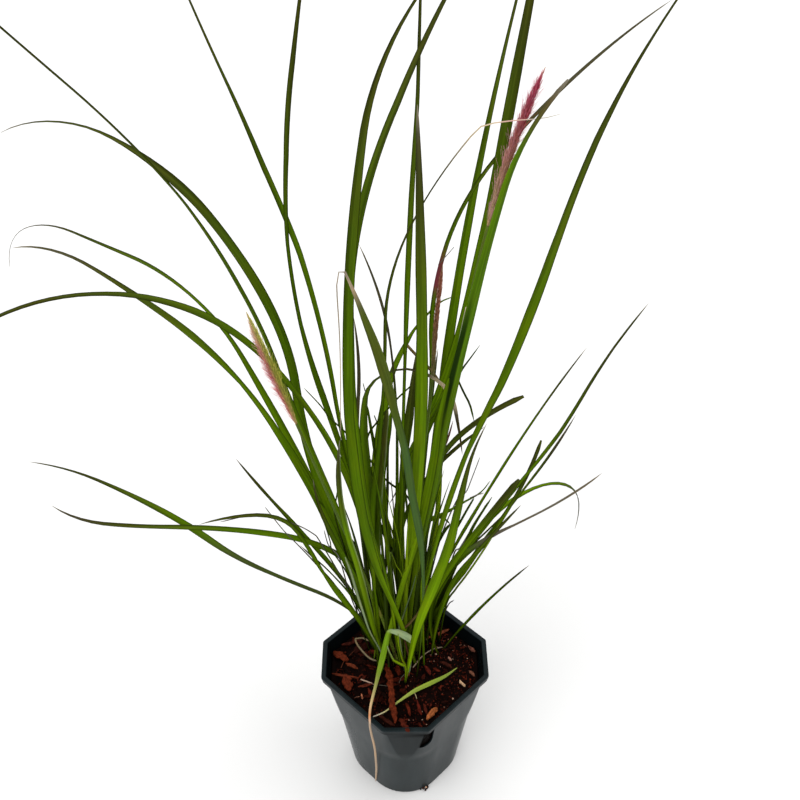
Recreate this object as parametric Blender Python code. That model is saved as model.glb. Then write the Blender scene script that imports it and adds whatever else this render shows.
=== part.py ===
"""A potted fountain grass clump: a square plastic nursery pot, its bark soil, and the grass that grows from it.

Metres, +Z up. The origin is the centre of the pot's underside and the pot's sides run along X and Y.
The clump has its own frame, an empty on the pot's axis turned by CLUMP_TURN: a heading of 0 is its +X,
90 its +Y, and the pot's front corner points along 270.
"""

import math

import bmesh
import bpy
import numpy as np
from mathutils import Matrix

MM = 0.001

# Pot: a tapered square with cut corners at the rim and round corners at the base
TOP_HALF = 0.055
BASE_HALF = 0.0385
POT_HEIGHT = 0.116
RIM_CORNER_CUT = 0.0232
BASE_CORNER_RADIUS = 0.031
RIM_FILLET = 0.003
FACET_DEPTH = 0.052
WALL = 0.0012
FLOOR = 0.0018
FOOT_BEVEL = 0.0012
LIP_WIDTH = 0.0037
LIP_DROP = 0.005
LIP_ROUND = 0.0005
BAND_DROP = 0.0085
BAND_STEP = 0.0006
ARC_STEPS = 3
WALL_LEVELS = 6

# The hole under the lip, on the +X side against the front corner's facet
SLOT_LEFT = -0.0305
SLOT_RIGHT = -0.0208
SLOT_BOTTOM = 0.082
SLOT_TOP = POT_HEIGHT - LIP_DROP - 0.0003
SLOT_ROUND = 0.0065
SLOT_FROM = 0.040
SLOT_TO = TOP_HALF - 0.0012

# Drain holes in the base
DRAIN_RADIUS = 0.0045
DRAIN_RING = 0.024
DRAIN_COUNT = 4

# Soil
SOIL_TOP = 0.105
FIT_GAP = 0.0003

# Clump
CLUMP_TURN = math.radians(44.7)
CLUMP_CENTRE = (0.0, 16 * MM)
TILLER_PITCH = 5.8 * MM
LEAF_RINGS = 15
LEAF_THICKNESS = 0.0007
LEAF_FOLD = 0.22
LEAF_WIDEST_AT = 0.42
LEAF_ROOT_SHARE = 0.45
LEAF_TIP_SHARE = 0.05
PATH_STEPS = 120

# Each leaf grows in an upright plane. Its row is: name, tiller (column, row) on the hexagonal pitch, heading
# in degrees, length and greatest width in mm, twist of the blade at root and tip in degrees, and its lean
# from upright in degrees at equal steps from root to tip.
LEAVES = (
    ("Leaf_Tall_1", (-4, -2), 180, 584, 4.4, (-80, -60), (-8, 13, 15, 12, 27, 41, 40)),
    ("Leaf_Tall_2", (-3, 1), 172, 515, 8.0, (60, 30), (8, 14, 18, 9, 2, 20, 34, 64, 120)),
    ("Leaf_Tall_3", (-2, 3), 152, 560, 4.6, (45, 30), (6, 14, 6, 16, 25, 20)),
    ("Leaf_Tall_4", (-1, 4), 160, 570, 3.4, (55, 60), (10, 13, 14, 2, -11, -13)),
    ("Leaf_Tall_5", (1, -3), 40, 570, 7.2, (-60, -40), (-12, -16, -4, 2, 12, 75)),
    ("Leaf_Tall_6", (0, 0), 40, 570, 5.0, (-45, -30), (-9, -12, -3, 1, 32, 49)),
    ("Leaf_Tall_7", (-1, 1), 60, 547, 3.6, (-30, -20), (-2, 2, 3, 5, 5)),
    ("Leaf_Tall_8", (-1, -1), 307, 453, 8.6, (35, 30), (3, 7, 3, -2, -3)),
    ("Leaf_Tall_9", (-2, -1), 15, 440, 2.8, (-75, -45), (-9, -7, -1, 5, 5, 1, 26, 42)),
    ("Leaf_Tall_10", (1, 4), 60, 555, 5.0, (-20, -20), (4, 14, 11, 18, 26, 35)),
    ("Leaf_Tall_11", (0, 4), 35, 560, 7.4, (-55, -40), (-2, -6, 27, 16, 9, 9, 9)),
    ("Leaf_Tall_12", (0, -1), -3, 470, 10.0, (60, 70), (0, 4, 8, 6, 9, 9, 12, 36)),
    ("Leaf_Tall_13", (0, 6), 30, 529, 2.2, (-70, -45), (8, 5, 5, 5, -3, 17, 50, 60, 70)),
    ("Leaf_Tall_14", (1, -2), -15, 565, 5.0, (70, 110), (4, 8, 12, 16, 11, 18, 31)),
    ("Leaf_Tall_15", (-3, 3), 150, 510, 4.6, (40, 30), (24, 23, 22, 26, 28, 30, 59, 86, 86, 122, 171)),
    ("Leaf_Tall_16", (-3, 0), 162, 430, 6.6, (70, 40), (17, 15, 15, 22, 28, 40, 56, 64, 110)),
    ("Leaf_Tall_17", (-1, 2), 200, 520, 4.8, (-90, -110), (11, 9, 9, 15, 24, 34, 60, 98, 135)),
    ("Leaf_Mid_1", (1, -5), 228, 399, 6.6, (-55, -70), (-8, -1, 8, 11, 15, 23)),
    ("Leaf_Mid_2", (0, 2), 157, 352, 2.4, (60, 45), (6, 2, -1, 0, 6, 25)),
    ("Leaf_Mid_3", (-2, 2), 170, 305, 2.4, (70, 75), (12, 8, 4, 0, -4, 6)),
    ("Leaf_Mid_4", (3, 0), -10, 359, 3.2, (-85, -70), (-2, 16, 25, 24, 19, 26)),
    ("Leaf_Mid_5", (0, 3), -23, 284, 4.6, (70, 100), (9, 6, 0, 10, 34, 48)),
    ("Leaf_Mid_6", (0, -6), 0, 263, 6.0, (-75, -65), (7, 7, 14, 14, 7, 8, 20)),
    ("Leaf_Mid_7", (-2, 0), 180, 310, 5.2, (60, 40), (24, 33, 58, 54, 40, 49, 56, 79)),
    ("Leaf_Mid_8", (-3, 2), 190, 310, 4.0, (80, 40), (3, 10, 19, 45, 66, 73, 78, 72, 34)),
    ("Leaf_Mid_9", (-1, 0), 10, 385, 5.2, (85, 60), (-7, -11, -7, -2, -1, -4, 8, 117, 170, 173)),
    ("Leaf_Mid_10", (-1, 3), 127, 291, 6.0, (30, 35), (6, -3, -4, -6, -8)),
    ("Leaf_Low_1", (2, 3), 30, 265, 2.6, (-40, -30), (4, 20, 31, 33, 37, 43)),
    ("Leaf_Low_2", (0, 5), 6, 218, 3.4, (-70, -40), (-8, -5, 1, 18, 36, 51)),
    ("Leaf_Low_3", (3, 2), 10, 235, 2.0, (-50, -50), (12, 22, 29, 29, 21)),
    ("Leaf_Low_4", (2, 1), -10, 235, 4.0, (-70, -75), (7, 18, 24, 22, 17, 9)),
    ("Leaf_Low_5", (1, -1), -15, 215, 5.0, (-85, -70), (0, 11, 18, 23, 24, 25)),
    ("Leaf_Low_6", (2, 0), 25, 260, 4.0, (-45, -20), (0, 11, 21, 31, 39, 55, 85, 129, 171, 189)),
    ("Leaf_Low_7", (4, -1), -4, 239, 4.0, (-70, -40), (-20, -1, 16, 33, 51, 49, 38)),
    ("Leaf_Low_8", (5, 0), 0, 113, 2.2, (-45, -45), (25, 29, 33, 38)),
    ("Leaf_Low_9", (-3, -2), 200, 245, 4.0, (80, 40), (12, 17, 21, 22, 16, 21, 72, 93)),
    ("Leaf_Low_10", (-4, 1), 170, 205, 3.0, (55, 45), (10, 23, 32, 34, 29)),
    ("Leaf_Low_11", (-2, 1), 210, 240, 4.4, (-65, -55), (12, 6, -1, -6, -6)),
    ("Leaf_Low_12", (1, 6), 68, 238, 4.6, (-15, -15), (6, 7, 11, 15, 19)),
    ("Leaf_Low_13", (-4, -1), 205, 160, 3.2, (85, 75), (2, 16, 23, 23, 27)),
    ("Leaf_Low_14", (-3, -1), 176, 190, 6.0, (85, 80), (16, 12, 13, 19, 15, 2)),
    ("Leaf_Low_15", (-2, -2), 216, 248, 4.6, (-50, -45), (21, 9, 8, 11, 4, -8)),
    ("Leaf_Low_16", (3, -1), -30, 205, 3.4, (80, 95), (3, 8, 14, 24, 25, 26)),
    ("Leaf_Low_17", (3, 1), -5, 160, 2.4, (-85, -65), (4, 7, 10, 22, 33, 29)),
)

# Two leaves end in a dry thread that bends away at the tip: length in mm, its own leans, and its width in mm
DRY_TIPS = {
    "Leaf_Mid_1": (112, (22, 100, 168, 180, 181, 180, 179, 178, 177, 176, 176, 176, 176, 176, 177), 1.2),
    "Leaf_Tall_9": (46, (45, 80, 90, 90, 92, 94, 95, 90, 84, 80), 0.8),
}

# Flower stems: name, tiller, heading, length in mm with the spike, its leans, the share of the length where
# the spike starts, and the spike's greatest radius in mm with its bristles
STEMS = (
    ("1", (1, 3), 25, 450, (-1, 5, 9, 8, 8, 15, 24), 0.79, 6.0),
    ("2", (-1, -2), 200, 355, (10, 13, 14, 14, 14, 14), 0.75, 6.0),
    ("3", (1, 2), 35, 335, (-6, 0, 7, 8, 2, 7), 0.76, 3.2),
)
STEM_RADIUS = 0.0012
STEM_POINTS = 9
SPIKE_POINTS = 12

# Two leaves whose routes leave their plane: points in mm from the pot's axis, in the clump's frame
DROOPING_ROUTE = (
    (3.5, -5, 105.3), (4.6, -6, 120), (5.9, -7.5, 134), (6.9, -8.6, 143), (6.2, -9, 147.5), (4.1, -9, 151.7),
    (0.2, -9.5, 156.4), (-4.4, -10, 160.5), (-8.3, -10.5, 162.6), (-10.8, -11, 163.5), (-11.8, -12.2, 162.6),
    (-12.6, -14, 159.7), (-14, -18, 154.7), (-15.8, -22, 147.9), (-18.5, -30, 141.5), (-20.8, -37, 135.4),
    (-24.1, -47, 127.2), (-25, -52.2, 122), (-24.9, -54.6, 117), (-25, -52.7, 108.2), (-24, -50.5, 93.1),
    (-22.8, -48.8, 79.1), (-22.2, -46.8, 65.6), (-22, -43.5, 47), (-22, -40.3, 32.4), (-23.2, -33.3, 2),
)
DROOPING_WIDTHS = (
    2.2, 2.8, 3.6, 4.2, 4.6, 5.2, 5.4, 4.6, 3.2, 2.6, 2.8, 3.6, 4.2,
    4.3, 3.3, 2.2, 1.8, 1.6, 1.6, 1.6, 1.6, 1.6, 1.6, 1.6, 1.6, 1.2,
)
DROOPING_ACROSS = (0.5, 0.87, 0)
LOOSE_ROUTE = (
    (-23, -44, 106.6), (-14.5, -40, 107), (-4, -31.5, 107.5), (7, -23, 107.5), (18, -17, 107.5),
    (30, -10, 107), (39, -2.5, 106.6),
)
LOOSE_WIDTHS = (0.9, 1.2, 1.8, 3.2, 3.6, 2.4, 1.0)
LOOSE_ACROSS = (-0.45, 0.67, 0.5)
ROUTE_RINGS = 40

LEAF_COLOUR = (0.13, 0.23, 0.03)
DRY_COLOUR = (0.45, 0.33, 0.18)
STEM_COLOUR = (0.18, 0.26, 0.06)
SPIKE_COLOUR = (0.42, 0.22, 0.16)
POT_COLOUR = (0.055, 0.07, 0.08)
SOIL_COLOUR = (0.06, 0.018, 0.008)


def clear_scene():
    for obj in list(bpy.data.objects):
        bpy.data.objects.remove(obj, do_unlink=True)


def new_collection(name):
    collection = bpy.data.collections.new(name)
    bpy.context.scene.collection.children.link(collection)
    return collection


def new_material(name, colour, roughness):
    material = bpy.data.materials.new(name)
    material.use_nodes = True
    shader = material.node_tree.nodes["Principled BSDF"]
    shader.inputs["Base Color"].default_value = (*colour, 1.0)
    shader.inputs["Roughness"].default_value = roughness
    return material


def add_mesh(name, points, faces, material, collection, parent=None):
    """One named object from points in metres and the faces of its loft, with every face turned outwards."""
    mesh = bpy.data.meshes.new(name)
    mesh.from_pydata([tuple(point) for point in points], [], faces)
    work = bmesh.new()
    work.from_mesh(mesh)
    bmesh.ops.recalc_face_normals(work, faces=work.faces)
    work.to_mesh(mesh)
    work.free()
    mesh.materials.append(material)
    obj = bpy.data.objects.new(name, mesh)
    obj.parent = parent
    collection.objects.link(obj)
    return obj


def loft(rings):
    """Points and faces of a closed skin over rings of equal count, with a flat cap at each end."""
    count = len(rings[0])
    points = [point for ring in rings for point in ring]
    faces = []
    for ring in range(len(rings) - 1):
        for side in range(count):
            here = ring * count + side
            beside = ring * count + (side + 1) % count
            faces.append((here, beside, beside + count, here + count))
    last = (len(rings) - 1) * count
    faces.append(tuple(range(count))[::-1])
    faces.append(tuple(range(last, last + count)))
    return points, faces


# ---------------------------------------------------------------- pot and soil


def taper(height):
    """Half side and corner cut of the pot's outer line at this height."""
    share = height / POT_HEIGHT
    base_cut = BASE_CORNER_RADIUS * (1 - math.tan(math.pi / 8))
    half = BASE_HALF + (TOP_HALF - BASE_HALF) * share
    return half, base_cut + (RIM_CORNER_CUT - base_cut) * share


def fillet_at(height, cut):
    """Radius beside the corner facets: small at the rim, and growing until it has used up the facet."""
    facet = cut * math.sqrt(2) / 2
    above = (height - (POT_HEIGHT - FACET_DEPTH)) / FACET_DEPTH
    rim_width = facet - RIM_FILLET * math.tan(math.pi / 8)
    straight = max(rim_width * math.sqrt(max(above, 0.0)), 0.01 * facet)
    return (facet - straight) / math.tan(math.pi / 8)


def section(height, inset, shape_height=None):
    """One closed outline of the pot, moved inwards by the inset, at this height."""
    shape_height = height if shape_height is None else shape_height
    half, cut = taper(shape_height)
    fillet = max(fillet_at(shape_height, cut) - inset, 0.0004)
    half -= inset
    cut -= inset * (2 - math.sqrt(2))
    fillet = min(fillet, 0.99 * cut / (1 - math.tan(math.pi / 8)))
    trim = fillet * math.tan(math.pi / 8)
    outline = []
    for quarter in range(4):
        turn = Matrix.Rotation(quarter * math.pi / 2, 2)
        for centre, start in (
            ((half - fillet, half - cut - trim), 0.0),
            ((half - cut - trim, half - fillet), math.pi / 4),
        ):
            for step in range(ARC_STEPS + 1):
                angle = start + math.pi / 4 * step / ARC_STEPS
                corner = (centre[0] + fillet * math.cos(angle), centre[1] + fillet * math.sin(angle))
                x = turn[0][0] * corner[0] + turn[0][1] * corner[1]
                y = turn[1][0] * corner[0] + turn[1][1] * corner[1]
                outline.append((x, y, height))
    return outline


def pot_rings():
    """Outlines up the outside, over the lip with its hanging skirt, and down the inside to the floor."""
    wall_inset = LIP_WIDTH - WALL
    band = POT_HEIGHT - BAND_DROP
    rings = [section(0.0, FOOT_BEVEL), section(FOOT_BEVEL, 0.0)]
    for level in range(1, WALL_LEVELS + 1):
        share = level / WALL_LEVELS
        height = FOOT_BEVEL + (band - FOOT_BEVEL) * share
        rings.append(section(height, (wall_inset + BAND_STEP) * share))
    rings.append(section(band + BAND_STEP, wall_inset))
    rings.append(section(POT_HEIGHT - WALL, wall_inset))
    rings.append(section(POT_HEIGHT - WALL, WALL))
    rings.append(section(POT_HEIGHT - LIP_DROP, WALL))
    rings.append(section(POT_HEIGHT - LIP_DROP, 0.0))
    rings.append(section(POT_HEIGHT - LIP_ROUND, 0.0))
    rings.append(section(POT_HEIGHT, LIP_ROUND))
    rings.append(section(POT_HEIGHT, LIP_WIDTH - LIP_ROUND))
    rings.append(section(POT_HEIGHT - LIP_ROUND, LIP_WIDTH))
    for level in range(WALL_LEVELS, -1, -1):
        share = level / WALL_LEVELS
        height = FLOOR + (band - FLOOR) * share
        rings.append(section(height, WALL + (wall_inset + BAND_STEP) * share))
    return rings


def add_cutter(name, points, faces, material, collection):
    cutter = add_mesh(name, points, faces, material, collection)
    cutter.hide_render = True
    cutter.display_type = "WIRE"
    return cutter


def cut(obj, cutter):
    boolean = obj.modifiers.new(cutter.name, "BOOLEAN")
    boolean.operation = "DIFFERENCE"
    boolean.solver = "EXACT"
    boolean.object = cutter


def slot_outline(x):
    """Straight under the lip and down both sides, with its lower corner away from the facet rounded."""
    outline = [(x, SLOT_RIGHT, SLOT_TOP), (x, SLOT_LEFT, SLOT_TOP), (x, SLOT_LEFT, SLOT_BOTTOM)]
    for step in range(6):
        angle = -math.pi / 2 * (1 - step / 5)
        y = SLOT_RIGHT - SLOT_ROUND * (1 - math.cos(angle))
        outline.append((x, y, SLOT_BOTTOM + SLOT_ROUND * (1 + math.sin(angle))))
    return outline


def build_pot(material, parts, cutters):
    pot = add_mesh("Pot", *loft(pot_rings()), material, parts)
    slot = [slot_outline(SLOT_FROM), slot_outline(SLOT_TO)]
    cut(pot, add_cutter("Slot_Cutter", *loft(slot), material, cutters))
    for index in range(DRAIN_COUNT):
        angle = 2 * math.pi * index / DRAIN_COUNT
        rings = []
        for height in (-FLOOR, 2 * FLOOR):
            ring = []
            for step in range(12):
                around = 2 * math.pi * step / 12
                x = DRAIN_RING * math.cos(angle) + DRAIN_RADIUS * math.cos(around)
                y = DRAIN_RING * math.sin(angle) + DRAIN_RADIUS * math.sin(around)
                ring.append((x, y, height))
            rings.append(ring)
        cut(pot, add_cutter(f"Drain_Cutter_{index + 1}", *loft(rings), material, cutters))
    return pot


def build_soil(material, parts):
    wall_inset = LIP_WIDTH - WALL + BAND_STEP
    band = POT_HEIGHT - BAND_DROP
    rings = []
    for level in range(WALL_LEVELS + 1):
        height = FLOOR + FIT_GAP + (SOIL_TOP - FLOOR - FIT_GAP) * level / WALL_LEVELS
        share = (height - FLOOR) / (band - FLOOR)
        rings.append(section(height, WALL + wall_inset * share + 2 * FIT_GAP))
    return add_mesh("Potting_Soil", *loft(rings), material, parts)


# ---------------------------------------------------------------- grass


def tiller_place(tiller):
    """Where a shoot leaves the soil, on a hexagonal pitch about the clump's centre."""
    column, row = tiller
    x = CLUMP_CENTRE[0] + (column + 0.5 * (row % 2)) * TILLER_PITCH
    y = CLUMP_CENTRE[1] + row * TILLER_PITCH * math.sqrt(3) / 2
    return np.array((x, y, SOIL_TOP + FIT_GAP))


def path_along(start, heading, length, leans):
    """Points and directions of a shoot whose lean from upright goes through these values at equal steps."""
    share = np.linspace(0, 1, PATH_STEPS + 1)
    stations = np.linspace(0, 1, len(leans))
    turn = math.radians(heading)

    def direction(at):
        lean = np.radians(np.interp(at, stations, leans))
        ahead = np.sin(lean)
        return np.stack([ahead * math.cos(turn), ahead * math.sin(turn), np.cos(lean)], axis=1)

    steps = direction((share[1:] + share[:-1]) / 2) * length / PATH_STEPS
    return np.vstack([start, start + np.cumsum(steps, axis=0)]), direction(share)


def leaf_width_share(share):
    """A blade is narrow at its root, widest before the middle, and runs to a point."""
    if share < LEAF_WIDEST_AT:
        rise = math.sin(share / LEAF_WIDEST_AT * math.pi / 2)
        return LEAF_ROOT_SHARE + (1 - LEAF_ROOT_SHARE) * rise
    fall = (1 - share) / (1 - LEAF_WIDEST_AT)
    return LEAF_TIP_SHARE + (1 - LEAF_TIP_SHARE) * fall**0.8


def leaf_ring(point, across, out, half_width, thickness):
    """The blade's section: a thin V with its keel on the underside."""
    keel = LEAF_FOLD * half_width
    return (
        point - half_width * across + out * keel / 2,
        point - out * (keel + thickness) / 2,
        point + half_width * across + out * keel / 2,
        point - out * (keel - thickness) / 2,
    )


def leaf_rings(start, heading, length, width, twist, leans, dry_tip=None):
    points, directions = path_along(start, heading, length * MM, leans)
    turn = math.radians(heading)
    level = np.array((-math.sin(turn), math.cos(turn), 0.0))
    rings = []
    for ring in range(LEAF_RINGS):
        share = ring / (LEAF_RINGS - 1)
        at = round(share * PATH_STEPS)
        along = directions[at] if ring else np.array((0.0, 0.0, 1.0))
        angle = math.radians(twist[0] + (twist[1] - twist[0]) * share)
        across = math.cos(angle) * level + math.sin(angle) * np.cross(level, along)
        out = np.cross(along, across)
        size = leaf_width_share(share)
        if dry_tip:
            size = max(size, dry_tip[2] / width)
        thickness = LEAF_THICKNESS * (0.4 + 0.6 * size)
        rings.append(leaf_ring(points[at], across, out, width * MM * size / 2, thickness))
    if dry_tip:
        rings += dry_tip_rings(points[-1], heading, level, math.radians(twist[1]), dry_tip)
    return rings


def dry_tip_rings(start, heading, level, angle, dry_tip):
    """The thread that hangs from a leaf's tip, as wide as the tip and in the leaf's own plane."""
    length, leans, width = dry_tip
    points, directions = path_along(start, heading, length * MM, leans)
    rings = []
    for step in range(2, len(leans) * 2):
        at = round(step / (len(leans) * 2 - 1) * PATH_STEPS)
        side = np.cross(level, directions[at])
        across = math.cos(angle) * level + math.sin(angle) * side
        out = np.cross(directions[at], across)
        rings.append(leaf_ring(points[at], across, out, width * MM / 2, LEAF_THICKNESS / 2))
    return rings


def smooth_route(points, count):
    """A Catmull-Rom curve through hand-chosen points, with its direction at each place."""
    ends = [2 * points[0] - points[1], *points, 2 * points[-1] - points[-2]]
    places = []
    for step in range(count):
        at = step / (count - 1) * (len(points) - 1)
        span = min(int(at), len(points) - 2)
        t = at - span
        a, b, c, d = ends[span : span + 4]
        places.append(
            0.5 * (2 * b + (c - a) * t + (2 * a - 5 * b + 4 * c - d) * t**2
                   + (3 * b - a - 3 * c + d) * t**3)
        )
    places = np.array(places)
    directions = np.gradient(places, axis=0)
    return places, directions / np.linalg.norm(directions, axis=1)[:, None]


def route_rings(route, widths, first_across):
    """Rings along a free route: the blade's width is carried along it with the least twist."""
    places, directions = smooth_route(np.array(route) * MM, ROUTE_RINGS)
    across = np.array(first_across, dtype=float)
    rings = []
    for ring in range(ROUTE_RINGS):
        along = directions[ring]
        across = across - np.dot(across, along) * along
        across = across / np.linalg.norm(across)
        share = ring / (ROUTE_RINGS - 1)
        width = np.interp(share, np.linspace(0, 1, len(widths)), widths) * MM
        out = np.cross(along, across)
        rings.append(leaf_ring(places[ring], across, out, width / 2, LEAF_THICKNESS * 0.8))
    return rings


def add_tube(name, points, radii, material, collection, parent):
    """A round shoot along these points: a curve with a round bevel, closed at both ends."""
    curve = bpy.data.curves.new(name, "CURVE")
    curve.dimensions = "3D"
    curve.bevel_depth = 1.0
    curve.bevel_resolution = 1
    curve.use_fill_caps = True
    curve.twist_mode = "MINIMUM"
    spline = curve.splines.new("POLY")
    spline.points.add(len(points) - 1)
    for knot, point, radius in zip(spline.points, points, radii):
        knot.co = (*point, 1.0)
        knot.radius = radius
    curve.materials.append(material)
    obj = bpy.data.objects.new(name, curve)
    obj.parent = parent
    collection.objects.link(obj)
    return obj


def spike_radius(share, greatest):
    """The spike's outline over its bristles: slender below, fullest past the middle, then a point."""
    rise = 0.4 + 0.6 * min(1.0, share / 0.45)
    fall = min(1.0, (1 - share) / 0.3)
    return max(greatest * rise * fall, 0.6)


def build_stem_and_spike(row, materials, parts, parent):
    name, tiller, heading, length, leans, spike_start, greatest = row
    points, _ = path_along(tiller_place(tiller), heading, length * MM, leans)
    gap = FIT_GAP / 2 / (length * MM)
    stem_at = np.linspace(0, spike_start - gap, STEM_POINTS)
    spike_at = np.linspace(spike_start + gap, 1, SPIKE_POINTS)
    share = np.linspace(0, 1, PATH_STEPS + 1)

    def places(at):
        return np.stack([np.interp(at, share, points[:, axis]) for axis in range(3)], axis=1)

    stem_radii = [STEM_RADIUS] * STEM_POINTS
    along = np.linspace(0, 1, SPIKE_POINTS)
    spike_radii = [spike_radius(value, greatest) * MM for value in along]
    add_tube(f"Stem_{name}", places(stem_at), stem_radii, materials["stem"], parts, parent)
    add_tube(f"Spike_{name}", places(spike_at), spike_radii, materials["spike"], parts, parent)


def build_grass(materials, parts, parent):
    for name, tiller, heading, length, width, twist, leans in LEAVES:
        start = tiller_place(tiller)
        rings = leaf_rings(start, heading, length, width, twist, leans, DRY_TIPS.get(name))
        add_mesh(name, *loft(rings), materials["leaf"], parts, parent)
    for row in STEMS:
        build_stem_and_spike(row, materials, parts, parent)
    drooping = route_rings(DROOPING_ROUTE, DROOPING_WIDTHS, DROOPING_ACROSS)
    add_mesh("Leaf_Drooping", *loft(drooping), materials["leaf"], parts, parent)
    loose = route_rings(LOOSE_ROUTE, LOOSE_WIDTHS, LOOSE_ACROSS)
    add_mesh("Leaf_Loose", *loft(loose), materials["dry"], parts, parent)


def main():
    clear_scene()
    parts = new_collection("Potted_Fountain_Grass")
    cutters = new_collection("Cutters")
    cutters.hide_render = True
    clump = bpy.data.objects.new("Clump_Frame", None)
    clump.rotation_euler = (0, 0, CLUMP_TURN)
    parts.objects.link(clump)
    materials = {
        "leaf": new_material("Leaf_Green", LEAF_COLOUR, 0.5),
        "dry": new_material("Leaf_Dry", DRY_COLOUR, 0.7),
        "stem": new_material("Stem_Green", STEM_COLOUR, 0.5),
        "spike": new_material("Spike_Bristles", SPIKE_COLOUR, 0.8),
    }
    build_pot(new_material("Pot_Plastic", POT_COLOUR, 0.45), parts, cutters)
    build_soil(new_material("Bark_Soil", SOIL_COLOUR, 0.95), parts)
    build_grass(materials, parts, clump)


main()
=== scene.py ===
"""The looks of a potted fountain grass clump, in metres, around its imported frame.

The clump has its own frame, turned by CLUMP_TURN about the pot's axis: u to the right of the picture, v away
from the camera and z up. What grows is worked out there, and turned into the pot's frame at the end.
"""

import math

import bmesh
import bpy
import numpy as np
from mathutils import Matrix, Vector, noise


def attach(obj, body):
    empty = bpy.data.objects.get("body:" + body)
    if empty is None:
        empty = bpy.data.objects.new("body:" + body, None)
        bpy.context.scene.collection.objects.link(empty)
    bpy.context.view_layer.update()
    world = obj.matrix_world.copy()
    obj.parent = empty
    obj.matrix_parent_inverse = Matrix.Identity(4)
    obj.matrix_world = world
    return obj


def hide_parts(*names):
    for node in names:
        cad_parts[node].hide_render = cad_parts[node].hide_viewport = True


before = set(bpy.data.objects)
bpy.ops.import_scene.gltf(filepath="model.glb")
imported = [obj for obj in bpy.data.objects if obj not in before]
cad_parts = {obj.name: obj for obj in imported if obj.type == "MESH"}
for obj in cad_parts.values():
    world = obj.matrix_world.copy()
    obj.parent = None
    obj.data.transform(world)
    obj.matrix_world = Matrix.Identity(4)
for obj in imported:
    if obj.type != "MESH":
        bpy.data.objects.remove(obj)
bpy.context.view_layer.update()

MM = 0.001

# Camera, in the clump's frame
PICTURE = 800
SENSOR = 36.0
LENS = 49.5
FOCAL = LENS / SENSOR * PICTURE
CAMERA_AT = np.array((-0.00246, -0.49045, 0.79437))
CAMERA_PITCH = math.radians(-40.9)
CAMERA_ROLL = math.radians(0.32)

# Studio. Suns: name, where each shines from in the clump's frame, strength and spread in degrees
FLOOR_HALF = 6.0
FLOOR_UNDER = 0.0002
FLOOR_COLOUR = (0.475, 0.475, 0.472)
FLOOR_ROUGHNESS = 0.9
FLOOR_SPECULAR = 0.1
SKY_STRENGTH = 0.95
SUNS = (
    ("Key", (-0.6, -0.75, 1.1), 2.6, 55),
    ("Fill", (1.0, -0.1, 0.9), 1.3, 60),
    ("Top", (0.0, 0.4, 1.0), 1.7, 70),
)

# Pot. Its corners are cut as an octagon's: OCTAGON is the tangent of half such a corner
OCTAGON = math.tan(math.pi / 8)
TOP_HALF = 0.055
BASE_HALF = 0.0385
POT_HEIGHT = 0.116
RIM_CORNER_CUT = 0.0232
BASE_CORNER_RADIUS = 0.031
RIM_FILLET = 0.003
FACET_DEPTH = 0.052
LEAST_FACET = 0.01
LEAST_FILLET = 0.0004
WALL = 0.0012
FLOOR = 0.0018
FOOT_BEVEL = 0.0012
FOOT_ROUND = ((0, 1), (0.4, 0.35), (1, 0))
FOOT_EDGE = 0.006
LIP_WIDTH = 0.0037
LIP_DROP = 0.005
LIP_ROUND = 0.0005
LIP_TURN = 0.3 * MM
LIP_EASE = 0.00008
BAND_DROP = 0.0085
BAND_STEP = 0.0006
ARC_STEPS = 9
WALL_LEVELS = 24
SLOT_LEFT = -0.0305
SLOT_RIGHT = -0.0208
SLOT_BOTTOM = 0.082
SLOT_TOP = POT_HEIGHT - LIP_DROP - 0.0003
SLOT_ROUND = 0.0065
SLOT_STEPS = 8
SLOT_FROM = 0.040
SLOT_TO = TOP_HALF - 0.0012
DRAIN_RADIUS = 0.0045
DRAIN_RING = 0.024
DRAIN_COUNT = 4
DRAIN_SIDES = 28
POT_CLEAN = (0.0058, 0.0105, 0.0118)
POT_DUSTY = (0.0088, 0.0138, 0.0150)
POT_SPECULAR = 0.09

# How much of its light each part of the pot keeps
FACET_KEEPS = 0.58
LIP_KEEPS = 0.60
LIP_FACE_KEEPS = 0.80
LIP_UNDER_KEEPS = 0.30
LIP_EDGE_KEEPS = 0.95
BELOW_LIP_KEEPS = 0.60
INSIDE_KEEPS = 0.20
SLOT_KEEPS = 0.12
FOOT_KEEPS = 0.10

# Soil
SOIL_TOP = 0.105
FIT_GAP = 0.0003
SOIL_RINGS = 44
CHIP_COUNT = 300
CHIP_REACH = 0.047
CHIP_MARGIN = 3.2 * MM
LEAST_CHIP = 2.2 * MM
LONGEST_CHIP = 13 * MM
CLEAR_GAP = 1.3 * MM
CRUMB_COUNT = 2900
CRUMB_REACH = 0.048
CRUMB_MARGIN = 0.9 * MM
CRUMB_SIZES = (0.5, 1.8)
FINE_CRUMB_SIZES = (0.5, 1.5)
SPARED_CRUMBS = 0.55

# To the picture's right the bark is finer: from where, how far that wanders, and how long chips are there
FINE_FROM = 6 * MM
FINE_MIDDLE = 4 * MM
FINE_WANDER = 6 * MM
FINE_CHIP = 0.45
SOIL_SIDE_TOP = 0.1
SOIL_SIDE_RINGS = 12
SOIL_SINK = 0.6
CROWN_HIGH = 1.2
CROWN_WIDE = 18 * MM

# Bumps of the soil: height in mm, layer of the noise and its pitch
HUMMOCKS = ((1.6, 0.3, 95), (0.9, 7.1, 240), (0.45, 3.7, 620))

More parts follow.
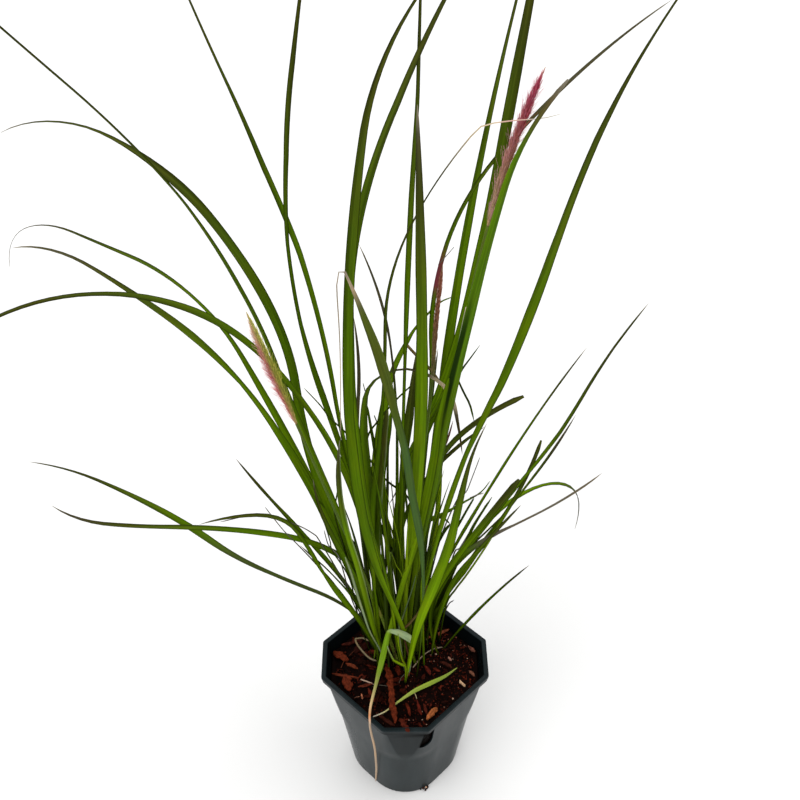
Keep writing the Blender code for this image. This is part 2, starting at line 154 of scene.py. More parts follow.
# Bark: pairs of colours that each kind lies between, and the shares of the kinds, added up
# The bed's pair runs from its low places to its high ones: painted shade, darker into the hollows and darkest
# down the side, which shows through the slot
SOIL_TINTS = ((0.0014, 0.0006, 0.0004), (0.0050, 0.0014, 0.0009))
WET_BARK = ((0.0018, 0.0006, 0.0004), (0.007, 0.0018, 0.0010))
RUSTY_BARK = ((0.010, 0.0018, 0.0010), (0.062, 0.0088, 0.0038))
LIGHT_BARK = ((0.06, 0.018, 0.010), (0.13, 0.055, 0.033))
PALE_CRUMB = ((0.12, 0.06, 0.04), (0.26, 0.17, 0.12))
WET_SHARE = 0.45
RUSTY_SHARE = 0.985
BARK_SPECULAR = 0.015

# Chips that stand out: picture place of each end, width, thickness and lift over the soil in mm, colour. The
# one that leans over the rim has a lift for each end
NAMED_CHIP_SHADE = 0.58
OVER_RIM = (1.5, (POT_HEIGHT - SOIL_TOP) / MM + 1.0)
NAMED_CHIPS = (
    ((386, 664), (398, 723), 4.9, 1.9, 3.0, (0.105, 0.017, 0.006)),
    ((328, 651), (341, 661), 6.0, 1.8, 1.6, (0.120, 0.020, 0.007)),
    ((346, 674), (352, 690), 5.8, 1.6, 1.8, (0.105, 0.018, 0.007)),
    ((323, 675), (350, 679), 1.9, 1.2, 2.4, (0.100, 0.019, 0.008)),
    ((346, 664), (357, 670), 3.0, 1.4, 1.8, (0.110, 0.023, 0.009)),
    ((331, 640), (352, 634), 2.6, 1.2, 1.6, (0.050, 0.010, 0.006)),
    ((358, 687), (373, 684), 2.2, 1.0, 1.6, (0.085, 0.016, 0.007)),
    ((431, 634), (453, 625), 2.6, 1.2, 1.6, (0.170, 0.045, 0.020)),
    ((427, 720), (438, 709), 5.0, 1.8, 1.8, (0.300, 0.090, 0.028)),
    ((400, 719), (408, 732), 4.0, 1.3, OVER_RIM, (0.085, 0.014, 0.007)),
    ((460, 680), (465, 687), 2.0, 1.0, 2.2, (0.520, 0.330, 0.190)),
    ((406, 703), (410, 716), 2.8, 1.4, 1.6, (0.075, 0.010, 0.004)),
    ((417, 700), (421, 715), 2.6, 1.2, 1.6, (0.080, 0.010, 0.005)),
    ((424, 704), (427, 715), 2.4, 1.2, 1.4, (0.060, 0.010, 0.005)),
    ((424, 666), (430, 675), 3.4, 1.4, 1.6, (0.095, 0.013, 0.007)),
    ((448, 657), (451, 661), 1.7, 1.0, 2.2, (0.280, 0.130, 0.090)),
    ((468, 646), (475, 652), 2.6, 1.4, 2.0, (0.170, 0.060, 0.040)),
    ((469, 671), (475, 676), 2.4, 1.2, 2.0, (0.180, 0.070, 0.040)),
    ((361.5, 694), (362.5, 699), 1.5, 1.0, 2.4, (0.420, 0.140, 0.070)),
    ((395, 726), (376, 712), 2.6, 1.2, 1.4, (0.040, 0.009, 0.005)),
    ((440, 662), (452, 668), 2.8, 1.2, 1.2, (0.040, 0.009, 0.005)),
)
# Crumbs at the pot's foot: picture place, size in mm, how high each lies as a share of its size, colour
FOOT_CRUMBS = (
    (423, 787.5, 3.4, 0.6, (0.020, 0.008, 0.006)),
    (427, 787, 3.6, 0.6, (0.024, 0.010, 0.007)),
    (420.5, 789, 2.2, 0.6, (0.016, 0.007, 0.006)),
    (425.5, 790, 2.0, 0.6, (0.020, 0.008, 0.006)),
    (426, 787, 1.5, 2.0, (0.420, 0.260, 0.170)),
)

# Clump
CLUMP_TURN = math.radians(44.7)
CLUMP_CENTRE = (0.0, 16 * MM)
TILLER_PITCH = 5.8 * MM
LEAF_FOLD = 0.22
LEAF_WIDEST_AT = 0.42
LEAF_ROOT_SHARE = 0.45
LEAF_TIP_SHARE = 0.05
PATH_STEPS = 240
COLUMNS = 9
STATION_PITCH = 7 * MM
MIDRIB_THICKNESS = 0.55 * MM
MARGIN_THICKNESS = 0.16 * MM
KEEL_ROUND = 0.02
STATIONS = (22, 84)
SWAY = 5.0
WIDE_THREAD = 1.2 * MM
THREAD_COLUMNS = 5
SMALL_THIN = 0.8
FRONT_ROW = -4

# name, tiller (column, row), heading, length and greatest width in mm, twist at root and tip, leans
LEAVES = (
    ("Leaf_Tall_1", (-4, -2), 180, 584, 4.4, (-80, -60), (-8, 13, 15, 12, 27, 41, 40)),
    ("Leaf_Tall_2", (-3, 1), 172, 515, 8.0, (60, 30), (8, 14, 18, 9, 2, 20, 34, 64, 120)),
    ("Leaf_Tall_3", (-2, 3), 152, 560, 4.6, (45, 30), (6, 14, 6, 16, 25, 20)),
    ("Leaf_Tall_4", (-1, 4), 160, 570, 3.4, (55, 60), (10, 13, 14, 2, -11, -13)),
    ("Leaf_Tall_5", (1, -3), 40, 570, 7.2, (-60, -40), (-12, -16, -4, 2, 12, 75)),
    ("Leaf_Tall_6", (0, 0), 40, 570, 5.0, (-45, -30), (-9, -12, -3, 1, 32, 49)),
    ("Leaf_Tall_7", (-1, 1), 60, 547, 3.6, (-30, -20), (-2, 2, 3, 5, 5)),
    ("Leaf_Tall_8", (-1, -1), 307, 453, 8.6, (35, 30), (3, 7, 3, -2, -3)),
    ("Leaf_Tall_9", (-2, -1), 15, 440, 2.8, (-75, -45), (-9, -7, -1, 5, 5, 1, 26, 42)),
    ("Leaf_Tall_10", (1, 4), 60, 555, 5.0, (-20, -20), (4, 14, 11, 18, 26, 35)),
    ("Leaf_Tall_11", (0, 4), 35, 560, 7.4, (-55, -40), (-2, -6, 27, 16, 9, 9, 9)),
    ("Leaf_Tall_12", (0, -1), -3, 470, 10.0, (60, 70), (0, 4, 8, 6, 9, 9, 12, 36)),
    ("Leaf_Tall_13", (0, 6), 30, 529, 2.2, (-70, -45), (8, 5, 5, 5, -3, 17, 50, 60, 70)),
    ("Leaf_Tall_14", (1, -2), -15, 565, 5.0, (70, 110), (4, 8, 12, 16, 11, 18, 31)),
    ("Leaf_Tall_15", (-3, 3), 150, 510, 4.6, (40, 30), (24, 23, 22, 26, 28, 30, 59, 86, 86, 122, 171)),
    ("Leaf_Tall_16", (-3, 0), 162, 430, 6.6, (70, 40), (17, 15, 15, 22, 28, 40, 56, 64, 110)),
    ("Leaf_Tall_17", (-1, 2), 200, 520, 4.8, (-90, -110), (11, 9, 9, 15, 24, 34, 60, 98, 135)),
    ("Leaf_Mid_1", (1, -5), 228, 399, 6.6, (-55, -70), (-8, -1, 8, 11, 15, 23)),
    ("Leaf_Mid_2", (0, 2), 157, 352, 2.4, (60, 45), (6, 2, -1, 0, 6, 25)),
    ("Leaf_Mid_3", (-2, 2), 170, 305, 2.4, (70, 75), (12, 8, 4, 0, -4, 6)),
    ("Leaf_Mid_4", (3, 0), -10, 359, 3.2, (-85, -70), (-2, 16, 25, 24, 19, 26)),
    ("Leaf_Mid_5", (0, 3), -23, 284, 4.6, (70, 100), (9, 6, 0, 10, 34, 48)),
    ("Leaf_Mid_6", (0, -6), 0, 263, 6.0, (-75, -65), (7, 7, 14, 14, 7, 8, 20)),
    ("Leaf_Mid_7", (-2, 0), 180, 310, 5.2, (60, 40), (24, 33, 58, 54, 40, 49, 56, 79)),
    ("Leaf_Mid_8", (-3, 2), 190, 310, 4.0, (80, 40), (3, 10, 19, 45, 66, 73, 78, 72, 34)),
    ("Leaf_Mid_9", (-1, 0), 10, 385, 5.2, (85, 60), (-7, -11, -7, -2, -1, -4, 8, 117, 170, 173)),
    ("Leaf_Mid_10", (-1, 3), 127, 291, 6.0, (30, 35), (6, -3, -4, -6, -8)),
    ("Leaf_Low_1", (2, 3), 30, 265, 2.6, (-40, -30), (4, 20, 31, 33, 37, 43)),
    ("Leaf_Low_2", (0, 5), 6, 218, 3.4, (-70, -40), (-8, -5, 1, 18, 36, 51)),
    ("Leaf_Low_3", (3, 2), 10, 235, 2.0, (-50, -50), (12, 22, 29, 29, 21)),
    ("Leaf_Low_4", (2, 1), -10, 235, 4.0, (-70, -75), (7, 18, 24, 22, 17, 9)),
    ("Leaf_Low_5", (1, -1), -15, 215, 5.0, (-85, -70), (0, 11, 18, 23, 24, 25)),
    ("Leaf_Low_6", (2, 0), 25, 260, 4.0, (-45, -20), (0, 11, 21, 31, 39, 55, 85, 129, 171, 189)),
    ("Leaf_Low_7", (4, -1), -4, 239, 4.0, (-70, -40), (-20, -1, 16, 33, 51, 49, 38)),
    ("Leaf_Low_8", (5, 0), 0, 113, 2.2, (-45, -45), (25, 29, 33, 38)),
    ("Leaf_Low_9", (-3, -2), 200, 245, 4.0, (80, 40), (12, 17, 21, 22, 16, 21, 72, 93)),
    ("Leaf_Low_10", (-4, 1), 170, 205, 3.0, (55, 45), (10, 23, 32, 34, 29)),
    ("Leaf_Low_11", (-2, 1), 210, 240, 4.4, (-65, -55), (12, 6, -1, -6, -6)),
    ("Leaf_Low_12", (1, 6), 68, 238, 4.6, (-15, -15), (6, 7, 11, 15, 19)),
    ("Leaf_Low_13", (-4, -1), 205, 160, 3.2, (85, 75), (2, 16, 23, 23, 27)),
    ("Leaf_Low_14", (-3, -1), 176, 190, 6.0, (85, 80), (16, 12, 13, 19, 15, 2)),
    ("Leaf_Low_15", (-2, -2), 216, 248, 4.6, (-50, -45), (21, 9, 8, 11, 4, -8)),
    ("Leaf_Low_16", (3, -1), -30, 205, 3.4, (80, 95), (3, 8, 14, 24, 25, 26)),
    ("Leaf_Low_17", (3, 1), -5, 160, 2.4, (-85, -65), (4, 7, 10, 22, 33, 29)),
)
# Past the length of the row: a dry tip's length in mm, its leans and its width in mm
DRY_TIPS = {
    "Leaf_Mid_1": (112, (24, 170, 180, 181, 181, 180, 179, 178, 177, 177, 177, 177, 177, 177, 177), 1.2),
    "Leaf_Tall_9": (46, (45, 80, 90, 90, 92, 94, 95, 90, 84, 80), 0.8),
}

# name, tiller, heading, length in mm, leans, the share of the length at which the spike starts, and the
# greatest radius in mm of the spike's solid
STEMS = (
    ("1", (1, 3), 25, 450, (-1, 5, 9, 8, 8, 15, 24), 0.79, 6.0),
    ("2", (-1, -2), 200, 355, (10, 13, 14, 14, 14, 14), 0.75, 6.0),
    ("3", (1, 2), 35, 335, (-6, 0, 7, 8, 2, 7), 0.76, 3.2),
)
STEM_RADIUS = 1.2 * MM
STEM_STATIONS = 70
STEM_SIDES = 12
STEM_KNOTS = (0.18, 0.42)
KNOT_LENGTH = 0.006
STEM_LOW = (0.10, 0.14, 0.015)
STEM_MIDDLE = (0.055, 0.095, 0.010)
STEM_TOP = (0.05, 0.075, 0.01)
STEM_KNOT = (0.14, 0.06, 0.02)
SPIKE_STATIONS = 90
HAIR_RINGS = 5
BRISTLE_WIDTH = (0.16, 0.24)
GUARD_WIDTH = (0.17, 0.25)
BRISTLE_BEND = 0.15
BRISTLE_REACH = (0.2, 1.0)
GUARD_REACH = (0.9, 2.1)
MOST_SPREAD = 0.60
TIP_THIN = 0.86
TIP_BARE = 0.97
GOLDEN_ANGLE = 2.39996
GRAIN_RADII = (0.35, 0.9, 1.0, 0.6, 0.08)

# Spikes: how many bristles and seeds, the bristles' length in mm, the core's radius in mm, the share of
# bristles that stand out as guard hairs, how far bristles on the picture's right reach, the dense body's
# outline as (share, half width in mm), and the colours from base to tip: of the picture's left, of its right,
# of the seeds and of the hairs' ends
SPIKES = {
    "1": {
        "bristles": 3400, "length": (8.0, 13.0), "core": 1.4, "guards": 0.10, "right_reach": 0.8,
        "outline": ((0, 1.2), (0.1, 1.4), (0.2, 2.1), (0.33, 2.7), (0.43, 3.3), (0.6, 3.6), (0.76, 3.6),
                    (0.85, 3.3), (0.92, 2.5), (1, 0.7)),
        "left": ((0.33, 0.25, 0.11), (0.33, 0.20, 0.10), (0.29, 0.09, 0.07), (0.28, 0.018, 0.042),
                 (0.36, 0.03, 0.08)),
        "right": ((0.20, 0.15, 0.045), (0.22, 0.13, 0.045), (0.25, 0.06, 0.05), (0.27, 0.014, 0.038),
                  (0.36, 0.03, 0.08)),
        "seeds": ((0.22, 0.14, 0.05), (0.22, 0.11, 0.04), (0.22, 0.04, 0.04), (0.22, 0.013, 0.032)),
        "seed_count": 190, "ends": (0.50, 0.20, 0.28),
    },
    "2": {
        "bristles": 3400, "length": (7.0, 11.0), "core": 1.5, "guards": 0.10, "right_reach": 0.55,
        "outline": ((0, 1.1), (0.09, 1.5), (0.18, 2.2), (0.27, 2.9), (0.36, 4.2), (0.45, 4.8), (0.54, 5.1),
                    (0.64, 4.7), (0.78, 3.5), (0.86, 2.7), (0.93, 1.8), (1, 0.3)),
        "left": ((0.48, 0.17, 0.12), (0.52, 0.12, 0.13), (0.52, 0.13, 0.15), (0.48, 0.25, 0.14),
                 (0.48, 0.40, 0.16)),
        "right": ((0.30, 0.23, 0.05), (0.33, 0.31, 0.045), (0.34, 0.33, 0.045), (0.38, 0.36, 0.07),
                  (0.48, 0.43, 0.15)),
        "seeds": ((0.26, 0.18, 0.06), (0.24, 0.22, 0.03), (0.24, 0.24, 0.03), (0.34, 0.32, 0.08)),
        "seed_count": 190, "ends": (0.52, 0.27, 0.26),
    },
    "3": {
        "bristles": 1300, "length": (6.0, 10.0), "core": 1.5, "guards": 0.0, "right_reach": 1.0,
        "outline": ((0, 1.1), (0.2, 1.7), (0.5, 2.0), (0.85, 1.8), (0.96, 0.8), (1, 0.2)),
        "left": ((0.10, 0.08, 0.02), (0.13, 0.08, 0.03), (0.16, 0.07, 0.035), (0.17, 0.06, 0.03),
                 (0.20, 0.06, 0.04)),
        "right": ((0.10, 0.08, 0.02), (0.16, 0.08, 0.03), (0.24, 0.08, 0.04), (0.26, 0.08, 0.04),
                  (0.26, 0.07, 0.04)),
        "seeds": ((0.09, 0.09, 0.02), (0.13, 0.08, 0.02), (0.18, 0.07, 0.03), (0.20, 0.06, 0.03)),
        "seed_count": 120, "ends": (0.28, 0.09, 0.05),
    },
}

# Blades along free routes: places, widths in mm and colours at equal steps, and the width's direction at the
# root
DROOPING_ROUTE = (
    (3.5, -5, 105.3), (4.6, -6, 120), (5.9, -7.5, 134), (6.9, -8.6, 143), (6.2, -9, 147.5), (4.1, -9, 151.7),
    (0.2, -9.5, 156.4), (-4.4, -10, 160.5), (-8.3, -10.5, 162.6), (-10.8, -11, 163.5), (-11.8, -12.2, 162.6),
    (-12.6, -14, 159.7), (-14, -18, 154.7), (-15.8, -22, 147.9), (-18.5, -30, 141.5), (-20.8, -37, 135.4),
    (-24.1, -47, 127.2), (-25, -52.2, 122), (-24.9, -54.6, 117), (-25, -52.7, 108.2), (-24, -50.5, 93.1),
    (-22.8, -48.8, 79.1), (-22.2, -46.8, 65.6), (-22, -43.5, 47), (-22, -40.3, 32.4), (-23.2, -33.3, 2),
)
DROOPING_WIDTHS = (
    2.2, 2.8, 3.6, 4.2, 4.6, 5.2, 5.4, 4.6, 3.2, 2.6, 2.8, 3.6, 4.2,
    4.3, 3.3, 2.2, 1.8, 1.6, 1.6, 1.6, 1.6, 1.6, 1.6, 1.6, 1.6, 1.2,
)
DROOPING_ACROSS = (0.5, 0.87, 0)
DROOPING_COLOURS = (
    *[(0.25, 0.33, 0.17)] * 9, (0.20, 0.30, 0.09), *[(0.115, 0.215, 0.008)] * 4, (0.125, 0.200, 0.02),
    (0.20, 0.22, 0.07), (0.40, 0.30, 0.18), (0.46, 0.20, 0.09), *[(0.48, 0.36, 0.26)] * 8,
)
LOOSE_ROUTE = (
    (-23, -44, 106.6), (-14.5, -40, 107), (-4, -31.5, 107.5), (7, -23, 107.5), (18, -17, 107.5),
    (30, -10, 107), (39, -2.5, 106.6),
)
LOOSE_LOOK = (0.8, 1.0, 1.6, 2.9, 3.3, 2.2, 0.6)
LOOSE_ACROSS = (-0.45, 0.67, 0.5)
LOOSE_COLOURS = (
    (0.42, 0.37, 0.31), (0.34, 0.33, 0.18), (0.24, 0.28, 0.06), (0.20, 0.26, 0.04), (0.18, 0.25, 0.03),
    (0.16, 0.22, 0.03), (0.16, 0.20, 0.04),
)
LOOSE_LIFT = 1.4
ROUTE_RINGS = 110
FILL_COUNT = 34
FILL_LENGTHS = (120, 235)
FILL_WIDTHS = (1.4, 3.4)
FILL_STEPS = 12

# Greens of the blades, linear
ROOT_GREEN = (0.150, 0.225, 0.008)
FRESH_GREEN = (0.128, 0.225, 0.002)
MID_GREEN = (0.075, 0.148, 0.001)
DEEP_GREEN = (0.042, 0.085, 0.001)
TOP_OLIVE = (0.042, 0.052, 0.006)
GREY_GREEN = (0.075, 0.120, 0.045)
LIME_GREEN = (0.165, 0.260, 0.004)
PALE_GREEN = (0.250, 0.330, 0.150)
DARK_GREEN = (0.020, 0.036, 0.002)
OLIVE_BROWN = (0.095, 0.075, 0.022)
DRY_TAN = (0.62, 0.46, 0.33)
DRY_CREAM = (0.60, 0.52, 0.38)
DRY_GREY = (0.050, 0.046, 0.022)
TIP_GREY = (0.20, 0.18, 0.14)
WARM_GREY = (0.085, 0.074, 0.052)
PALE_GREY = (0.21, 0.21, 0.18)
RED_BROWN = (0.10, 0.035, 0.02)
CRIMSON = (0.184, 0.016, 0.048)
YELLOWED = (1.3, 1.06, 0.75)
LIT_THROUGH = (1.25, 1.2, 0.35)
VEIN_PITCH = 9.0
DRY_TIP_FROM = 0.965

# Low down, blades are darker from the front row of tillers to this row, up to this height over the soil
SHADED_ROWS = (-5, 1)
SHADED_HEIGHTS = (18 * MM, 130 * MM)
FOOT_DARKER = 0.84

# How each blade differs from the usual one: its tone (-1 darker to 1 fresher), and where its tip turns dry
TONES = {
    "Leaf_Tall_1": -0.3, "Leaf_Tall_2": -0.1, "Leaf_Tall_4": -0.4, "Leaf_Tall_7": 0.1, "Leaf_Tall_8": 0.6,
    "Leaf_Tall_9": -0.5, "Leaf_Tall_12": 0.1, "Leaf_Tall_15": -0.2, "Leaf_Tall_16": 0.1, "Leaf_Mid_4": 0.2,
    "Leaf_Mid_6": 0.6, "Leaf_Mid_7": 0.3, "Leaf_Mid_10": 0.2, "Leaf_Low_1": 0.4, "Leaf_Low_3": 0.5,
    "Leaf_Low_4": 0.6, "Leaf_Low_5": 0.7, "Leaf_Low_6": 0.7, "Leaf_Low_7": 0.4, "Leaf_Low_8": 0.2,
    "Leaf_Low_9": 0.3, "Leaf_Low_12": -0.5, "Leaf_Low_14": 0.3, "Leaf_Low_15": 0.8, "Leaf_Low_16": 0.1,
}
DRY_FROM = {
    "Leaf_Tall_9": 1.2, "Leaf_Tall_12": 0.9, "Leaf_Tall_13": 0.80, "Leaf_Tall_15": 0.80, "Leaf_Tall_16": 0.88,
    "Leaf_Tall_17": 0.93, "Leaf_Mid_1": 0.96, "Leaf_Mid_2": 0.72, "Leaf_Mid_3": 0.72, "Leaf_Mid_5": 1.2,
    "Leaf_Mid_8": 0.88, "Leaf_Mid_9": 0.74, "Leaf_Low_3": 0.85, "Leaf_Low_4": 1.2, "Leaf_Low_5": 1.2,
    "Leaf_Low_6": 0.9, "Leaf_Low_7": 0.52, "Leaf_Low_11": 1.2,
}
DRY_COLOURS = {
    "Leaf_Tall_12": OLIVE_BROWN, "Leaf_Mid_1": DRY_TAN, "Leaf_Low_6": PALE_GREY, "Leaf_Low_7": WARM_GREY,
}
# How wide some tips stay, as a share of the blade's width
BLUNT_TIPS = {
    "Leaf_Tall_12": 0.28, "Leaf_Mid_5": 0.75, "Leaf_Low_4": 0.62, "Leaf_Low_5": 0.8, "Leaf_Low_11": 0.8,
}
SHARP_UNTIL = 0.985
LEAST_WIDTH = 0.76 * MM
SLIM_ROOT = 0.72

# What single blades show over their usual colours: colour, amount, the shares of the length over which it
# comes in and goes out (None: it stays), and the side it keeps to, as (-1 left or 1 right, and from, to of
# the half width)
MARKS = {
    "Leaf_Tall_9": (
        ((0.40, 0.35, 0.27), 1, (0.93, 1.0), None, None),
        ((0.42, 0.26, 0.22), 1, (1.025, 1.04), None, None),
        ((0.28, 0.27, 0.23), 1, (1.055, 1.075), None, None),
    ),
    "Leaf_Tall_12": (
        ((0.070, 0.150, 0.004), 1, (0.5, 0.6), (0.9, 0.96), None),
        # Painted shade: the near-black mark over the left half is the blade's shadow side
        ((0.010, 0.026, 0.002), 1, (0.45, 0.55), (0.66, 0.72), (-1, 0.05, 0.2)),
    ),
    "Leaf_Tall_13": ((CRIMSON, 0.8, (0.565, 0.58), (0.605, 0.63), None),),
    "Leaf_Mid_1": (
        ((0.048, 0.098, 0.030), 0.8, (0.05, 0.2), (0.6, 0.75), None),
        ((0.072, 0.100, 0.012), 0.8, (0.6, 0.75), (0.9, 0.96), None),
    ),
    "Leaf_Mid_7": (((0.055, 0.068, 0.022), 0.8, (0.12, 0.2), (0.5, 0.62), None),),
    "Leaf_Mid_9": (
        (DRY_CREAM, 0.9, (0.80, 0.82), (0.88, 0.91), None),
        ((0.0665, 0.0525, 0.0154), 1, (0.91, 0.94), None, None),
    ),
    "Leaf_Low_11": ((PALE_GREEN, 0.7, (0.2, 0.5), None, (1, 0.6, 0.9)),),
    "Leaf_Low_15": ((PALE_GREEN, 0.7, (0.2, 0.5), None, (1, 0.6, 0.9)),),
}
# This blade is painted much darker towards its root: painted shade from the blades round it
SHADED_ROOT_BLADE = "Leaf_Mid_1"

# How wide each blade is against the usual one, and how far it bends to the picture's right in mm, at these
# shares of its length
LOOK_STOPS = (0, 0.3, 0.4, 0.5, 0.6, 0.7, 0.8, 0.9, 1.0)
WIDTH_LOOKS = {
    "Leaf_Tall_1": (1, 1, 1, 0.85, 1.0, 0.68, 0.95, 1.6, 1.3),
    "Leaf_Tall_2": (1, 1, 0.85, 0.85, 0.95, 1.15, 1.4, 0.6, 0.7),
    "Leaf_Tall_3": (1, 0.7, 0.62, 0.74, 1, 1.2, 0.75, 0.8, 1),
    "Leaf_Tall_4": (1, 1.2, 1.25, 0.85, 0.85, 1.45, 1.9, 1.3, 1.3),
    "Leaf_Tall_5": (1, 0.9, 0.9, 0.9, 1.05, 1.2, 1.17, 0.7, 1),
    "Leaf_Tall_6": (1, 0.9, 0.85, 0.85, 0.95, 1.4, 1.6, 1.4, 1.2),
    "Leaf_Tall_7": (1, 0.9, 0.6, 0.62, 1.3, 1.4, 1.3, 1.4, 1.2),
    "Leaf_Tall_8": (0.8, 0.8, 0.9, 1, 1.2, 1.2, 1.5, 1.65, 1.45),
    "Leaf_Tall_9": (1, 1.3, 1.5, 1.2, 0.9, 1.3, 1.2, 1.0, 0.8),
    "Leaf_Tall_10": (1, 1, 1.2, 1.35, 1.35, 1.15, 0.9, 0.9, 1),
    "Leaf_Tall_11": (1, 0.95, 0.9, 0.9, 1.3, 1.4, 1.8, 1.65, 1.3),
    "Leaf_Tall_12": (0.8, 0.9, 1.05, 0.95, 0.91, 1.0, 1.12, 1.2, 1.4),
    "Leaf_Tall_13": (1, 1, 1.3, 1.5, 1.7, 1.7, 2.2, 2.8, 3),
    "Leaf_Tall_14": (1, 0.8, 0.6, 1, 1.5, 1.35, 1.3, 0.8, 1),
    "Leaf_Tall_15": (1, 1, 1.1, 0.8, 0.6, 0.95, 0.75, 0.5, 0.6),
    "Leaf_Tall_16": (1, 1, 0.9, 0.78, 0.55, 1.15, 1.1, 1, 1.2),
    "Leaf_Tall_17": (1, 1, 0.8, 0.75, 1, 1.4, 1.1, 1.3, 1.3),
    "Leaf_Mid_1": (0.3, 0.42, 0.75, 0.87, 0.95, 1.1, 2.1, 1.9, 1.6),
    "Leaf_Mid_2": (1, 1, 1, 1, 1, 1, 1.2, 2.5, 3),
    "Leaf_Mid_3": (1, 1, 1, 1, 1, 1.2, 2, 3, 3),
    "Leaf_Mid_4": (1, 1, 1.2, 1, 0.9, 1.2, 1.3, 1.5, 2.2),
    "Leaf_Mid_5": (0.75, 0.75, 0.75, 0.75, 0.75, 0.9, 1.7, 1.8, 1.9),
    "Leaf_Mid_6": (0.55, 1.1, 1.2, 1.35, 1.38, 1.4, 1.3, 1.06, 1),
    "Leaf_Mid_7": (1, 0.58, 0.5, 0.8, 1.2, 1.25, 1.2, 0.95, 1.2),
    "Leaf_Mid_8": (1, 1, 1, 1.2, 1.25, 1.35, 1.5, 2, 2),
    "Leaf_Mid_9": (1, 1.05, 1.35, 1.4, 1.5, 1, 1.15, 1.8, 1.6),
    "Leaf_Mid_10": (1, 0.9, 0.8, 0.7, 0.85, 1, 2, 2, 1.5),
    "Leaf_Low_1": (0.8, 0.8, 1.05, 0.85, 1.05, 1.15, 1.2, 1.8, 2),
    "Leaf_Low_2": (1, 1, 1, 1, 1.1, 1.3, 1.6, 2.6, 3),
    "Leaf_Low_3": (1, 1, 0.8, 1.3, 1.2, 1.2, 2, 3, 3),
    "Leaf_Low_4": (1, 1, 1.2, 0.7, 1.2, 1.05, 1.1, 1.4, 1.3),
    "Leaf_Low_5": (1, 1, 1, 1, 1.1, 1.2, 1.15, 1.2, 1.2),
    "Leaf_Low_6": (1, 1, 1.07, 1.1, 1, 0.85, 1.6, 2, 1.5),
    "Leaf_Low_7": (1, 1, 1.1, 1.3, 1, 0.6, 0.7, 1.3, 2),
    "Leaf_Low_8": (0.8, 1, 1, 1.05, 1.1, 1.2, 1.5, 2, 1.5),
    "Leaf_Low_9": (1, 1, 1.1, 0.65, 1.1, 1.1, 1.5, 1.8, 2),
    "Leaf_Low_10": (1, 1, 1, 1.3, 1.2, 1.6, 1.5, 2.2, 2.5),
    "Leaf_Low_11": (1, 1, 1.2, 1.4, 1.7, 2, 2.4, 3.2, 2.5),
    "Leaf_Low_12": (1, 1, 1, 1, 1, 1, 1.3, 1.5, 1.5),
    "Leaf_Low_13": (1, 1, 0.8, 0.7, 0.5, 0.5, 0.65, 1.2, 1.5),
    "Leaf_Low_15": (1, 1, 1, 1.1, 1.2, 1.4, 1.8, 2.4, 2),
    "Leaf_Low_16": (1, 1, 1, 1.1, 0.9, 0.9, 1.3, 1.8, 2),
    "Leaf_Low_17": (0.9, 1, 1.1, 1.1, 1.1, 1.1, 1.2, 1.5, 1.8),
}
BENDS = {
    "Leaf_Tall_1": (0, 0, 0, -0.5, 0, 1.8, 1, 0.3, 0),
    "Leaf_Tall_2": (0, 0, -1.3, -1.7, -2.1, -2.2, -1.6, 0.5, 1.3),
    "Leaf_Tall_3": (0, -0.5, -1.2, -0.6, 0, -2.3, -2.2, -1.5, -1),
    "Leaf_Tall_4": (0, -0.3, -0.6, -1.5, -1, 1.1, 1.4, 1, 0.8),
    "Leaf_Tall_5": (0, 0, -0.8, -1.5, -0.5, 0, 0, 1, 1),
    "Leaf_Tall_6": (0, 0, 0, -0.8, 0, 0.5, 1.5, 0.5, 0),
    "Leaf_Tall_7": (0, 0.8, 0.6, 0.6, 0.5, 0.7, 1.4, 0.2, 0),
    "Leaf_Tall_9": (0, 0, 0.3, 1, 0.6, 0.2, 0.3, 0, 0),
    "Leaf_Tall_14": (0, -0.8, -1, 1.2, 0.8, 1.1, 0, 0.5, 0.5),
    "Leaf_Tall_16": (0, 0, 0.5, 0.8, 1.8, 1.4, 0.8, 0.8, 0.5),
    "Leaf_Tall_17": (0, 0, 0.2, 0.5, 1.5, 0.6, -1.4, -2, -1),
    "Leaf_Mid_1": (0, 0, 0, -1, 0, -0.8, -0.6, -1.2, -0.5),
    "Leaf_Mid_4": (0, 0, 0, 0, 0.7, 1.4, 0.6, 0, 0),
    "Leaf_Mid_9": (0, 0, 0, 0, 0.8, 0.3, 1, 1, 1),
    "Leaf_Low_7": (0, 0, 0, 0, 0.6, 1.1, 1.1, 0.4, 0),
    "Leaf_Low_13": (0, 1, 1.5, 2, 2, 1.5, 0.8, -0.5, -0.8),
}

